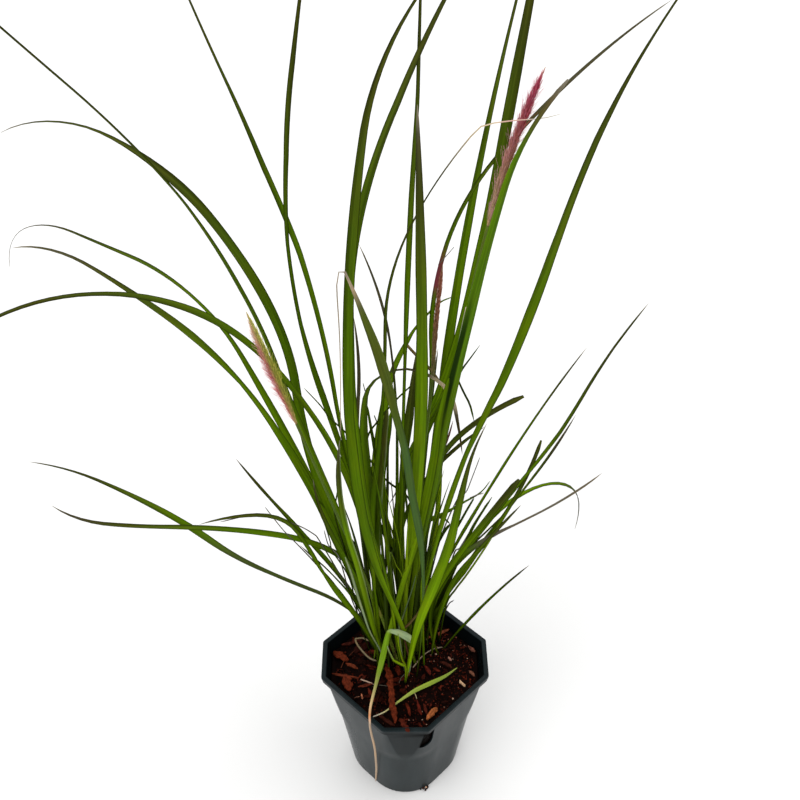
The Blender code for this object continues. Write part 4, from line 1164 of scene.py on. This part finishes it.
def build_soil(material):
    heights = np.linspace(FLOOR + FIT_GAP, SOIL_SIDE_TOP, SOIL_SIDE_RINGS)
    rings = [np.array(section(height, soil_inset(height))) for height in heights]
    edge = np.array(section(SOIL_TOP, soil_inset(SOIL_TOP)))
    for ring in range(SOIL_RINGS):
        share = 1 - ring / SOIL_RINGS
        points = edge * (share, share, 1)
        for point in points:
            point[2] = soil_height(point[0], point[1])
        rings.append(points)
    points = np.concatenate(rings)
    # Painted shade: the bed is darker low down and darkest down its side
    tint = lerp(*SOIL_TINTS, ramp(points[:, 2], SOIL_TOP - 2 * MM, SOIL_TOP + 1.5 * MM))
    soil = new_object("Soil_Bed", points, closed_skin(len(rings), len(edge)), material,
                      tint=with_alpha(tint), grain=points / MM)
    place_piece(soil, "bark_soil", "Potting_Soil")


class Joined:
    """Many small solids in one mesh."""

    def __init__(self):
        self.points, self.faces, self.tints, self.grains, self.count = [], [], [], [], 0

    def add(self, points, faces, tint, grain):
        self.points.append(points)
        self.faces += [tuple(index + self.count for index in face) for face in faces]
        tint = np.asarray(tint, float)
        self.tints.append(np.tile(tint, (len(points), 1)) if tint.ndim == 1 else tint)
        self.grains.append(grain)
        self.count += len(points)

    def build(self, name, material, slot, *nodes, smooth=True):
        obj = new_object(
            name, np.concatenate(self.points), self.faces, material, smooth,
            tint=with_alpha(np.concatenate(self.tints)), grain=np.concatenate(self.grains),
        )
        return place_piece(obj, slot, *nodes)


def chip_solid(random, length, width, thickness):
    """A flake of bark: an uneven strip with a broken outline, a little bowed, lying along its own x."""
    stations = max(5, int(length / (1.6 * MM)))
    along = np.linspace(-0.5, 0.5, stations)
    narrowed = 1 - 0.75 * np.abs(2 * along) ** random.uniform(2, 6)
    left = narrowed * width / 2 * (1 + random.normal(0, 0.20, stations))
    right = narrowed * width / 2 * (1 + random.normal(0, 0.20, stations))
    drift = np.cumsum(random.normal(0, 0.06, stations)) * width
    bow = random.normal(0, 0.06) * length * (4 * along**2 - 1)
    points = []
    for row in range(stations):
        x, y, z = along[row] * length, drift[row], bow[row]
        t = thickness / 2 * (0.6 + 0.4 * narrowed[row])
        ridge = t * (1 + random.normal(0, 0.3))
        points += [
            (x, y - left[row], z - t * 0.3), (x, y - left[row] * 0.8, z + t),
            (x, y + random.normal(0, 0.12) * width, z + ridge * 1.2),
            (x, y + right[row] * 0.8, z + t), (x, y + right[row], z - t * 0.3), (x, y, z - t),
        ]
    return np.array(points), closed_skin(stations, 6)


def turned_by(points, roll, pitch, yaw):
    matrix = Matrix.Rotation(yaw, 3, "Z") @ Matrix.Rotation(pitch, 3, "Y") @ Matrix.Rotation(roll, 3, "X")
    return points @ np.array(matrix).T


def bark_tint(random):
    """Wet near-black brown to rusty red, with a few lighter chips."""
    kind = random.random()
    if kind < WET_SHARE:
        return lerp(*WET_BARK, random.random())
    if kind < RUSTY_SHARE:
        return lerp(*RUSTY_BARK, random.random() ** 1.8)
    return lerp(*LIGHT_BARK, random.random())


def inside_pot(x, y, margin):
    half, cut = taper(SOIL_TOP)
    half -= soil_inset(SOIL_TOP) + margin
    return max(abs(x), abs(y)) < half and abs(x) + abs(y) < 2 * half - cut + margin * 0.4


def clear_of_wall(points):
    """Whether all of these places are inside the pot's wall, rounded corners included."""
    edge = np.array(section(SOIL_TOP - 3 * MM, soil_inset(SOIL_TOP - 3 * MM)))[:, :2]
    side = np.roll(edge, -1, axis=0) - edge
    gap = points[:, None, :2] - edge[None]
    turn = side[None, :, 0] * gap[:, :, 1] - side[None, :, 1] * gap[:, :, 0]
    return bool((turn > 0).all() or (turn < 0).all())


def on_level(px, py, height):
    """The same place as level_point, in the pot's frame."""
    return to_pot_frame(level_point(px, py, height))


def build_named_chips(material):
    random = rng(5)
    joined = Joined()
    for start, end, width, thickness, lift, tint in NAMED_CHIPS:
        low, high = lift if isinstance(lift, tuple) else (lift, lift)
        a, b = on_level(*start, SOIL_TOP + low * MM), on_level(*end, SOIL_TOP + high * MM)
        points, faces = chip_solid(random, float(np.linalg.norm(b - a)), width * MM, thickness * MM)
        grain = points / MM + random.uniform(0, 90, 3)
        yaw = math.atan2(b[1] - a[1], b[0] - a[0])
        pitch = -math.atan2(b[2] - a[2], math.hypot(b[0] - a[0], b[1] - a[1]))
        points = turned_by(points, random.normal(0, 0.12), pitch, yaw) + (a + b) / 2
        while low == high and not clear_of_wall(points):
            middle = points[:, :2].mean(axis=0)
            points[:, :2] -= 0.2 * MM * middle / np.linalg.norm(middle)
        joined.add(points, faces, np.array(tint) * NAMED_CHIP_SHADE, grain)
    joined.build("Bark_Large_Chips", material, "bark_soil", smooth=False)


def kept_clear():
    """Lines over the soil where nothing else lies: the large chips and the fallen leaf."""
    level = SOIL_TOP + 2 * MM
    lines = [(on_level(*start, level), on_level(*end, level)) for start, end, *_ in NAMED_CHIPS]
    loose = to_pot_frame(np.array(LOOSE_ROUTE) * MM)
    return [(a[:2], b[:2]) for a, b in lines + list(zip(loose[:-1], loose[1:]))]


def off_lines(x, y, lines, gap):
    place = np.array((x, y))
    for a, b in lines:
        along = b - a
        share = np.clip(np.dot(place - a, along) / np.dot(along, along), 0, 1)
        if np.linalg.norm(place - a - share * along) < gap:
            return False
    return True


def side_of_clump(x, y):
    """How far to the picture's right a place of the pot's frame is."""
    return math.cos(CLUMP_TURN) * x + math.sin(CLUMP_TURN) * y


def build_chips(material):
    random = rng(11)
    joined = Joined()
    lines = kept_clear()
    made = 0
    while made < CHIP_COUNT:
        x, y = random.uniform(-CHIP_REACH, CHIP_REACH, 2)
        if not inside_pot(x, y, CHIP_MARGIN):
            continue
        made += 1
        length = min(random.gamma(3.0, 1.7) * MM + LEAST_CHIP, LONGEST_CHIP)
        if side_of_clump(x, y) > FINE_FROM:
            length *= FINE_CHIP
        if not off_lines(x, y, lines, CLEAR_GAP + 0.33 * length):
            continue
        width = length * random.uniform(0.22, 0.55)
        points, faces = chip_solid(random, length, width, width * random.uniform(0.25, 0.5))
        grain = points / MM + random.uniform(0, 90, 3)
        pitch = random.normal(0, 0.28)
        points = turned_by(points, random.normal(0, 0.5), pitch, random.uniform(0, 2 * math.pi))
        middle = (x, y, soil_height(x, y) + 0.2 * width)
        if not clear_of_wall(points + middle):
            continue
        joined.add(points + middle, faces, bark_tint(random), grain)
    joined.build("Bark_Chips", material, "bark_soil", smooth=False)


def crumb_solid(random, size):
    made = bmesh.new()
    bmesh.ops.create_icosphere(made, subdivisions=1, radius=size / 2)
    points = np.array([vertex.co for vertex in made.verts])
    faces = [tuple(vertex.index for vertex in face.verts) for face in made.faces]
    made.free()
    points = points * (1 + random.normal(0, 0.16, (len(points), 1))) * random.uniform(0.6, 1.25, 3)
    return points, faces


def build_crumbs(material):
    random = rng(23)
    joined = Joined()
    lines = kept_clear()
    made = 0
    while made < CRUMB_COUNT:
        x, y = random.uniform(-CRUMB_REACH, CRUMB_REACH, 2)
        fine = side_of_clump(x, y) > random.normal(FINE_MIDDLE, FINE_WANDER)
        if not inside_pot(x, y, CRUMB_MARGIN) or (not fine and random.random() < SPARED_CRUMBS):
            continue
        made += 1
        size = random.uniform(*(FINE_CRUMB_SIZES if fine else CRUMB_SIZES)) * MM
        if not off_lines(x, y, lines, CLEAR_GAP):
            continue
        points, faces = crumb_solid(random, size)
        grain = points / MM + random.uniform(0, 90, 3)
        tint = np.array(bark_tint(random)) * (1.25 if fine else 0.8)
        if random.random() < (0.012 if fine else 0.002):
            tint = lerp(*PALE_CRUMB, random.random())
        joined.add(points + (x, y, soil_height(x, y) + size * 0.25), faces, tint, grain)
    joined.build("Bark_Crumbs", material, "bark_soil", smooth=False)


def build_foot_crumb(material):
    """The crumb of bark against the pot's foot, with its tan fleck."""
    random = rng(31)
    joined = Joined()
    for px, py, size, lift, tint in FOOT_CRUMBS:
        points, faces = crumb_solid(random, size * MM)
        joined.add(points + on_level(px, py, lift * size * MM), faces, tint, points / MM)
    joined.build("Foot_Crumb", material, "bark_soil", smooth=False)


# ---------------------------------------------------------------- blades


def tiller_place(tiller):
    column, row = tiller
    x = CLUMP_CENTRE[0] + (column + 0.5 * (row % 2)) * TILLER_PITCH
    y = CLUMP_CENTRE[1] + row * TILLER_PITCH * math.sqrt(3) / 2
    return np.array((x, y, SOIL_TOP + FIT_GAP))


def path_along(start, heading, length, leans):
    share = np.linspace(0, 1, PATH_STEPS + 1)
    stations = np.linspace(0, 1, len(leans))
    turn = math.radians(heading)

    def direction(at):
        lean = np.radians(np.interp(at, stations, leans))
        ahead = np.sin(lean)
        return np.stack([ahead * math.cos(turn), ahead * math.sin(turn), np.cos(lean)], axis=1)

    steps = direction((share[1:] + share[:-1]) / 2) * length / PATH_STEPS
    return np.vstack([start, start + np.cumsum(steps, axis=0)]), direction(share)


def leaf_width_share(share):
    quarter = np.minimum(share / LEAF_WIDEST_AT, 1) * math.pi / 2
    rise = LEAF_ROOT_SHARE + (1 - LEAF_ROOT_SHARE) * np.sin(quarter)
    fall = np.maximum(1 - share, 0) / (1 - LEAF_WIDEST_AT)
    return np.where(share < LEAF_WIDEST_AT, rise, LEAF_TIP_SHARE + (1 - LEAF_TIP_SHARE) * fall**0.8)


def blade_solid(points, across, out, half_width, fold, thin=1.0, columns=COLUMNS):
    """A thin keeled blade: this many points over its upper face and as many under it, for each station."""
    column = np.linspace(-1, 1, columns)
    valley = np.sqrt(column**2 + KEEL_ROUND) - math.sqrt(KEEL_ROUND)
    valley = valley / valley.max() - 0.5
    lift = fold[:, None] * half_width[:, None] * valley
    thick = lerp(MARGIN_THICKNESS, MIDRIB_THICKNESS, (1 - np.abs(column)) ** 1.5)
    thick = thick[None, :] * thin * (0.45 + 0.55 * ramp(half_width, 0, 2.2 * MM))[:, None]
    middle = points[:, None] + across[:, None] * (half_width[:, None] * column)[..., None]
    upper = middle + out[:, None] * (lift + thick / 2)[..., None]
    lower = middle + out[:, None] * (lift - thick / 2)[..., None]
    rings = np.concatenate([upper, lower[:, ::-1]], axis=1)
    count = 2 * columns
    faces = ring_faces(len(points), count)
    for base, flip in ((0, False), ((len(points) - 1) * count, True)):
        for step in range(columns - 1):
            cap = (base + step, base + count - 1 - step, base + count - 2 - step, base + step + 1)
            faces.append(cap[::-1] if flip else cap)
    across_at = np.tile(np.concatenate([column, column[::-1]]), (len(points), 1))
    under = np.tile(np.concatenate([np.zeros(columns), np.ones(columns)]), (len(points), 1))
    return rings.reshape(-1, 3), faces, across_at, under


def blade_grain(across_at, half_width, along, number):
    """For the blade's material: mm across it, mm along it and its number."""
    return np.stack([across_at * half_width[:, None] / MM, along, np.full_like(along, number)],
                    -1).reshape(-1, 3)


def blade_object(name, solid, faces, material, tint, grain):
    return new_object(name, to_pot_frame(solid), faces, material, tint=with_alpha(tint.reshape(-1, 3)),
                      grain=grain)


def edged(colour, across, under, half_width, fold_shade_side):
    """Dark margins, a lighter rib, one half a little darker than the other as painted shade of the fold, and
    a paler underside.
    """
    rim = ramp(np.abs(across), 1 - 0.55 * MM / np.maximum(half_width, 0.8 * MM), 1.0)
    colour = colour * (1 - 0.72 * rim[..., None])
    # Painted shade: one half of the fold is darker, as if turned from the light
    colour = colour * (1 - 0.26 * ramp(across * fold_shade_side, -0.1, 0.35)[..., None])
    rib = np.exp(-((across / 0.12) ** 2))
    colour = lerp(colour, colour * 1.25, rib * 0.5 * (1 - under))
    return lerp(colour, colour * (1.15, 1.12, 1.3), under * 0.8)


def blade_tint(share, across, under, half_width, tone, dry_from, dry_colour, random):
    """Yellow-green at the root, mid green, then dark olive towards a dry tip."""
    hold = 0.10 * tone
    stops = np.array([0.0, 0.10, 0.30 + hold, 0.60 + hold, 0.84 + hold / 2, 1.0])
    greens = np.array([ROOT_GREEN, FRESH_GREEN, MID_GREEN, DEEP_GREEN, TOP_OLIVE, TOP_OLIVE])
    greens[2] = lerp(MID_GREEN, FRESH_GREEN, max(tone, 0.0))
    greens[3] = lerp(DEEP_GREEN, MID_GREEN, max(0.0, 0.45 + 0.55 * tone))
    greens[1:4] *= 1 + 0.18 * tone
    colour = edged(at_shares(share, stops, greens), across, under, half_width,
                   1 if random.random() < 0.5 else -1)
    wander = 0.02 * random.normal()
    dry = ramp(share, dry_from - 0.04 + wander, dry_from + 0.05 + wander)
    colour = lerp(colour, np.asarray(dry_colour), dry)
    return lerp(colour, np.asarray(TIP_GREY), 0.8 * ramp(share, 0.965, 0.995) * (dry_from < 1.1))


def picture_right(points, along):
    """To the right of these directions, as the picture shows them."""
    return unit(np.cross(points - CAMERA_AT, along))


def blade_frames(start, heading, length, twist, leans, random, extra=None):
    """Stations along a blade: places, across and upper directions, and the share of its length."""
    points, along = path_along(start, heading, length, leans)
    share = np.linspace(0, 1, PATH_STEPS + 1)
    if extra:
        more, more_along = path_along(points[-1], heading, extra[0] * MM, extra[1])
        points = np.vstack([points, more[1:]])
        along = np.vstack([along, more_along[1:]])
        share = np.concatenate([share, 1 + share[1:] * extra[0] * MM / length])
    count = int(np.clip(length * share[-1] / STATION_PITCH, *STATIONS))
    at = np.linspace(0, share[-1], count)
    points, along = at_shares(at, share, points), unit(at_shares(at, share, along))
    turn = math.radians(heading)
    level = np.tile(np.array((-math.sin(turn), math.cos(turn), 0.0)), (count, 1))
    waves = random.uniform(1.5, 3.5)
    sway = SWAY * np.sin(2 * math.pi * waves * at + random.uniform(0, 6)) * ramp(at, 0, 0.2)
    angle = np.radians(twist[0] + (twist[1] - twist[0]) * np.minimum(at, 1) + sway)[:, None]
    across = np.cos(angle) * level + np.sin(angle) * np.cross(level, along)
    return points, across, np.cross(along, across), at


def leaf_half_width(name, width, share, extra, index):
    """Half the width of a leaf at these shares of its length, in m."""
    size = leaf_width_share(share) * (1 + 0.025 * np.sin(share * 40 + index))
    half_width = size * width * MM / 2 * np.interp(share, LOOK_STOPS, WIDTH_LOOKS.get(name, (1,) * 9))
    if "Low" not in name and name != "Leaf_Mid_6":
        half_width = half_width * lerp(SLIM_ROOT, 1, ramp(share, 0.2, 0.32))
    sharp = ramp(share, SHARP_UNTIL, 1.0)
    half_width = np.maximum(half_width, LEAST_WIDTH / 2 * (1 - 0.6 * sharp))
    if name in BLUNT_TIPS:
        half_width = np.maximum(half_width, BLUNT_TIPS[name] * width * MM / 2 * (1 - 0.5 * sharp**2))
    if extra:
        thread = extra[2] * MM / 2 * (1 - 0.5 * ramp(share, 1.0, share[-1]))
        half_width = np.where(share > 1, thread, np.maximum(half_width, extra[2] * MM / 2))
    if name not in BLUNT_TIPS:
        half_width[-1] *= 0.35
    return half_width


def build_leaf(row, index, material):
    name, tiller, heading, length, width, twist, leans = row
    random = rng(100 + index)
    extra = DRY_TIPS.get(name)
    points, across, out, share = blade_frames(
        tiller_place(tiller), heading, length * MM, twist, leans, random, extra)
    if name in BENDS:
        aside = np.interp(share, LOOK_STOPS, BENDS[name]) * MM
        points = points + picture_right(points, np.cross(across, out)) * aside[:, None]
    half_width = leaf_half_width(name, width, share, extra, index)
    fold = LEAF_FOLD + 0.55 * np.exp(-share / 0.08) + 0.10 * ramp(share, 0.75, 1.0)
    solid, faces, across_at, under = blade_solid(points, across, out, half_width, fold)
    tone = TONES.get(name, 0.0) + random.normal(0, 0.06)
    shares = np.tile(share[:, None], (1, 2 * COLUMNS))
    tint = blade_tint(shares, across_at, under, half_width[:, None], tone, DRY_FROM.get(name, DRY_TIP_FROM),
                      DRY_COLOURS.get(name, DRY_GREY), random)
    tint = marked(name, tint, shares, across_at) * foot_shade(solid, tiller[1]).reshape(*shares.shape, 1)
    grain = blade_grain(across_at, half_width, shares * length, 7.3 * index)
    blade = blade_object(name.replace("Leaf", "Blade"), solid, faces, material, tint, grain)
    place_piece(blade, "leaf", name)


def foot_shade(points, row):
    """Blades that grow behind others are darker low down, where little light reaches them."""
    behind = ramp(row, *SHADED_ROWS)
    above = ramp(points[:, 2] - SOIL_TOP, *SHADED_HEIGHTS)
    return lerp(1 - FOOT_DARKER * behind, 1.0, above)


def marked(name, tint, share, across):
    """The tint with the marks of this blade over it, and painted shade at one blade's root."""
    for colour, amount, rise, fall, side in MARKS.get(name, ()):
        mark = amount * ramp(share, *rise)
        if fall:
            mark = mark * (1 - ramp(share, *fall))
        if side:
            mark = mark * ramp(across * side[0], *side[1:])
        tint = lerp(tint, np.array(colour), mark)
    # Painted shade: this blade darkens towards its root
    if name == SHADED_ROOT_BLADE:
        tint = tint * lerp(0.10, 1.0, ramp(share, 0.02, 0.18))[..., None]
    return tint


def smooth_route(points, count):
    """This many places along a smooth curve through the points, and the directions there."""
    ends = [2 * points[0] - points[1], *points, 2 * points[-1] - points[-2]]
    places = []
    for step in range(count):
        at = step / (count - 1) * (len(points) - 1)
        span = min(int(at), len(points) - 2)
        t = at - span
        a, b, c, d = ends[span : span + 4]
        places.append(
            0.5 * (2 * b + (c - a) * t + (2 * a - 5 * b + 4 * c - d) * t**2
                   + (3 * b - a - 3 * c + d) * t**3)
        )
    places = np.array(places)
    return places, directions_along(places)


def carried_across(directions, first):
    """The width's direction along a free route, with the least twist."""
    across = np.array(first, dtype=float)
    carried = []
    for along in directions:
        across = across - np.dot(across, along) * along
        across = across / np.linalg.norm(across)
        carried.append(across)
    return np.array(carried)


def route_blade(name, route, widths, first_across, colours, material, slot, node, seed):
    """A blade along a free route (mm), with its widths and colours given at equal steps."""
    places, directions = smooth_route(np.array(route, dtype=float) * MM, ROUTE_RINGS)
    across = carried_across(directions, first_across)
    share = np.linspace(0, 1, ROUTE_RINGS)
    half_width = np.interp(share, np.linspace(0, 1, len(widths)), widths) * MM / 2
    half_width[-1] *= 0.4
    fold = np.full(ROUTE_RINGS, LEAF_FOLD)
    out = np.cross(directions, across)
    solid, faces, across_at, _ = blade_solid(places, across, out, half_width, fold, SMALL_THIN)
    shares = np.tile(share[:, None], (1, 2 * COLUMNS))
    tint = run_colour(shares, colours) * (1 - 0.25 * ramp(np.abs(across_at), 0.7, 1.0)[..., None])
    grain = blade_grain(across_at, half_width, shares * (path_length(places) / MM), seed)
    place_piece(blade_object(name, solid, faces, material, tint, grain), slot, node)


def build_route_leaves(material):
    route_blade("Blade_Drooping", DROOPING_ROUTE, DROOPING_WIDTHS, DROOPING_ACROSS, DROOPING_COLOURS,
                material, "leaf", "Leaf_Drooping", 61)
    lifted = [(x, y, z + LOOSE_LIFT) for x, y, z in LOOSE_ROUTE]
    route_blade("Blade_Loose", lifted, LOOSE_LOOK, LOOSE_ACROSS, LOOSE_COLOURS, material,
                "dry_leaf", "Leaf_Loose", 67)


def add_blade(joined, places, half_width, facing, colours, number, row):
    """One small blade or thread, turned by this angle from facing the camera."""
    along = directions_along(places)
    right = picture_right(places, along)
    across = math.cos(facing) * right + math.sin(facing) * np.cross(along, right)
    half_width = half_width / math.cos(facing)
    columns = COLUMNS if half_width.max() > WIDE_THREAD else THREAD_COLUMNS
    solid, faces, across_at, under = blade_solid(
        places, across, np.cross(along, across), half_width, np.full(len(places), LEAF_FOLD), SMALL_THIN,
        columns)
    share = np.tile(np.linspace(0, 1, len(places))[:, None], (1, 2 * columns))
    tint = edged(run_colour(share, colours), across_at, under, half_width[:, None], -1 if number % 2 else 1)
    tint = tint * foot_shade(solid, row).reshape(*share.shape, 1)
    grain = blade_grain(across_at, half_width, share * (path_length(places) / MM), 3.1 * number)
    joined.add(to_pot_frame(solid), faces, tint.reshape(-1, 3), grain)


def picture_path(places, first_away, last_away):
    """Places of the picture with px widths, as points that recede evenly, and half the widths in m."""
    places = np.array(places, dtype=float)
    steps = np.concatenate([[0], np.cumsum(np.linalg.norm(np.diff(places[:, :2], axis=0), axis=1))])
    away = lerp(first_away, last_away, steps / steps[-1])
    points = np.array([photo_point(x, y, v) for (x, y, _), v in zip(places, away)])
    return points, places[:, 2] * px_size(points) / 2


def rooted_blade(joined, row, number, random):
    tiller, away, places, colours = row
    root = tiller_place(tiller)
    points, half_width = picture_path(places, root[1] / MM, away)
    if points[0][2] > root[2] + 2 * MM:
        points = np.vstack([root, points])
        half_width = np.concatenate([[half_width[0] * 0.7], half_width])
    else:
        points[0] = root
    add_smoothed(joined, points, half_width, random.uniform(-0.6, 0.6), colours, number, tiller[1])


def add_smoothed(joined, points, half_width, facing, colours, number, row=FRONT_ROW):
    count = int(np.clip(path_length(points) / (5 * MM), 8, 60))
    places, _ = smooth_route(points, count)
    widths = np.interp(np.linspace(0, 1, count), np.linspace(0, 1, len(half_width)), half_width)
    widths[-1] *= 0.3
    add_blade(joined, places, widths, facing, colours, number, row)


def build_heart(material):
    """The smaller blades and the threads between the large ones."""
    random = rng(71)
    blades, threads = Joined(), Joined()
    for number, row in enumerate(HEART_BLADES):
        rooted_blade(blades, row, number, random)
    for number in range(FILL_COUNT):
        tiller = (random.integers(-4, 3), random.integers(-4, 7))
        length = random.uniform(*FILL_LENGTHS) * MM
        lean = random.uniform(2, 9)
        points, _ = path_along(tiller_place(tiller), random.uniform(0, 360), length,
                               (lean, lean * 0.6, lean * 1.4, lean * 2.2))
        points = points[:: PATH_STEPS // FILL_STEPS]
        width = random.uniform(*FILL_WIDTHS) * MM
        half_width = leaf_width_share(np.linspace(0, 1, len(points))) * width / 2
        run = (GREEN_RUN, DARK_RUN, DARK_RUN, LIME_RUN)[random.integers(0, 4)]
        add_smoothed(blades, points, half_width, random.uniform(-0.9, 0.9), run, 40 + number, tiller[1])
    blades.build("Heart_Blades", material, "leaf")
    for number, row in enumerate(HEART_THREADS):
        rooted_blade(threads, row, number, random)
    for number, (away, places, colours) in enumerate(STRANDS):
        points, half_width = picture_path(places, away, away)
        add_smoothed(threads, points, half_width, 0.0, colours, 60 + number)
    threads.build("Heart_Threads", material, "leaf")


def build_straws(material):
    """Dry scraps of leaf and root on the soil."""
    joined = Joined()
    for number, (places, lift, width, colour) in enumerate(STRAWS):
        points = np.array([level_point(x, y, SOIL_TOP + lift * MM) for x, y in places])
        half_width = np.full(len(points), width * MM / 2)
        add_smoothed(joined, points, half_width, 0.0, (colour, colour), number)
    joined.build("Soil_Straws", material, "dry_leaf")


# ---------------------------------------------------------------- stems and spikes


def tube(points, radii, sides):
    """A round skin along these points, closed at both ends."""
    directions = directions_along(points)
    across = carried_across(directions, (1, 0.1, 0))
    out = np.cross(directions, across)
    angles = np.linspace(0, 2 * math.pi, sides, endpoint=False)
    ring = across[:, None] * np.cos(angles)[None, :, None] + out[:, None] * np.sin(angles)[None, :, None]
    skin = points[:, None] + ring * np.asarray(radii)[:, None, None]
    return skin.reshape(-1, 3), closed_skin(len(points), sides)


def stem_places(row, shares):
    _, tiller, heading, length, leans, _, _ = row
    points, _ = path_along(tiller_place(tiller), heading, length * MM, leans)
    return at_shares(shares, np.linspace(0, 1, len(points)), points)


def build_stem(row, index, material):
    name, spike_start = row[0], row[5]
    shares = np.linspace(0, spike_start, STEM_STATIONS)
    knot = np.exp(-(((shares[:, None] - np.array(STEM_KNOTS)) / KNOT_LENGTH) ** 2)).sum(axis=1)
    radii = STEM_RADIUS * (1.0 + 0.22 * knot - 0.35 * shares / spike_start)
    skin, faces = tube(stem_places(row, shares), radii, STEM_SIDES)
    share = np.repeat(shares / spike_start, STEM_SIDES)
    tint = lerp(STEM_LOW, STEM_MIDDLE, ramp(share, 0, 0.6))
    tint = lerp(tint, np.array(STEM_TOP), ramp(share, 0.8, 1.0))
    tint = lerp(tint, np.array(STEM_KNOT), np.repeat(np.minimum(knot, 1), STEM_SIDES) * 0.6)
    around = np.tile(np.arange(STEM_SIDES) * 0.6, len(shares))
    grain = np.stack([around, share * row[3], np.full_like(share, 5.0 + index)], -1)
    place_piece(blade_object(f"Flower_Stem_{name}", skin, faces, material, tint, grain), "stem",
                f"Stem_{name}")


def axes_at(places):
    along = directions_along(places)
    across = carried_across(along, (1, 0, 0))
    return along, across, np.cross(along, across)


def bristle_solid(root, along, side, length, spread, width):
    """A hair of three sides that leaves the axis and bends back along it."""
    t = np.linspace(0, 1, HAIR_RINGS)[:, None]
    lean = spread * (1 - BRISTLE_BEND * t)
    spine = root + length * (t * along * np.cos(lean) + t * side * np.sin(lean))
    across = np.cross(along, side)
    offsets = (across, -0.5 * across + 0.87 * side, -0.5 * across - 0.87 * side)
    radii = width / 2 * (1 - 0.5 * t)
    rings = np.stack([spine + radii * offset for offset in offsets], axis=1)
    return rings.reshape(-1, 3), closed_skin(HAIR_RINGS, 3)


def spike_outline(share):
    """How far the bristles' roots stand, as a share of the core's radius."""
    return np.interp(share, (0, 0.15, 0.5, 0.85, 1.0), (0.55, 0.85, 1.0, 0.7, 0.25))


def hair_tint(look, root_at, lateral, guard, random):
    """A hair's colours from root to end: the picture's left and right differ, and guard hairs end paler."""
    tint = lerp(run_colour(root_at, look["left"]), run_colour(root_at, look["right"]),
                ramp(lateral, -0.5, 0.5))
    tint = tint * random.uniform(0.7, 1.35)
    t = np.repeat(np.linspace(0, 1, HAIR_RINGS), 3)
    ends = lerp(np.array(look["ends"]), tint * 1.15, ramp(lateral, -0.1, 0.4))
    count = (3 * HAIR_RINGS, 1)
    return lerp(np.tile(tint, count), np.tile(ends, count), 0.85 * t if guard else 0.15 * t**2)


def build_spike(row, index, materials):
    name, spike_start = row[0], row[5]
    look = SPIKES[name]
    random = rng(300 + index)
    places = stem_places(row, np.linspace(spike_start, 1, SPIKE_STATIONS))
    along, across, out = axes_at(places)
    spike_length = row[3] * MM * (1 - spike_start)
    stops, halves = zip(*look["outline"])
    bristles = Joined()
    for _ in range(look["bristles"]):
        tip_at = random.uniform(0.05, 1.0)
        length = random.uniform(*look["length"]) * MM * (1.0 - 0.3 * tip_at**2)
        root_at = max(0.0, tip_at - 0.94 * length / spike_length)
        step = root_at * (SPIKE_STATIONS - 1)
        low = min(int(step), SPIKE_STATIONS - 2)
        place = lerp(places[low], places[low + 1], step - low)
        angle = random.uniform(0, 2 * math.pi)
        side = math.cos(angle) * across[low] + math.sin(angle) * out[low]
        guard = random.random() < look["guards"]
        reach_share = random.uniform(*(GUARD_REACH if guard else BRISTLE_REACH))
        reach = np.interp(tip_at, stops, halves) * MM * reach_share
        reach *= 1 - (1 - look["right_reach"]) * ramp(side[0], 0, 0.5)
        if tip_at > TIP_THIN and random.random() < 0.85 * ramp(tip_at, TIP_THIN, TIP_BARE):
            continue
        width = random.uniform(*(GUARD_WIDTH if guard else BRISTLE_WIDTH)) * MM
        core = look["core"] * MM * spike_outline(root_at) * 0.5
        spread = math.asin(np.clip((reach - core) / length, 0.0, MOST_SPREAD)) / (1 - BRISTLE_BEND)
        points, faces = bristle_solid(place + side * core, along[low], side, length, spread, width)
        bristles.add(to_pot_frame(points), faces, hair_tint(look, root_at, side[0], guard, random), points)
    bristles.build(f"Bristles_{name}", materials["bristle"], "spike", f"Spike_{name}")
    build_spikelets(name, index, materials, places, along, across, out)


def build_spikelets(name, index, materials, places, along, across, out):
    """The seed heads: small pointed grains packed in a spiral up the axis, over a thin rachis."""
    look = SPIKES[name]
    random = rng(400 + index)
    grains = Joined()
    rachis, faces = tube(places, 0.5 * MM * np.linspace(1, 0.4, len(places)), 8)
    grains.add(to_pot_frame(rachis), faces, run_colour(0.1, look["seeds"]), rachis)
    for number in range(look["seed_count"]):
        share = (number + 0.5) / look["seed_count"] * 0.93
        low = int(share * (len(places) - 1))
        angle = number * GOLDEN_ANGLE
        side = math.cos(angle) * across[low] + math.sin(angle) * out[low]
        length = random.uniform(3.2, 4.4) * MM * (1 - 0.35 * share)
        core = look["core"] * MM * spike_outline(share)
        t = np.linspace(0, 1, len(GRAIN_RADII))[:, None]
        spine = places[low] + side * core * 0.45 + length * t * along[low] + side * core * 0.5 * t
        radii = 0.52 * MM * np.array(GRAIN_RADII) * (0.6 + 0.4 * spike_outline(share))
        skin, faces = tube(spine, radii, 6)
        tint = run_colour(share, look["seeds"]) * random.uniform(0.75, 1.25)
        grains.add(to_pot_frame(skin), faces, tint, skin)
    grains.build(f"Spikelets_{name}", materials["bristle"], "spike", f"Spike_{name}")


def build_grass(materials):
    for index, row in enumerate(LEAVES):
        build_leaf(row, index, materials["blade"])
    build_route_leaves(materials["blade"])
    build_heart(materials["blade"])
    build_straws(materials["blade"])
    for index, row in enumerate(STEMS):
        build_stem(row, index, materials["stem"])
        build_spike(row, index, materials)


def main():
    build_camera()
    build_studio()
    materials = {
        "blade": blade_material("Leaf_Blade", 0.02, 0.25),
        "stem": blade_material("Flower_Stem", 0.05, 0.0),
        "bristle": bristle_material(),
        "bark": bark_material(),
    }
    build_pot()
    build_soil(materials["bark"])
    build_named_chips(materials["bark"])
    build_chips(materials["bark"])
    build_crumbs(materials["bark"])
    build_foot_crumb(materials["bark"])
    build_grass(materials)


main()
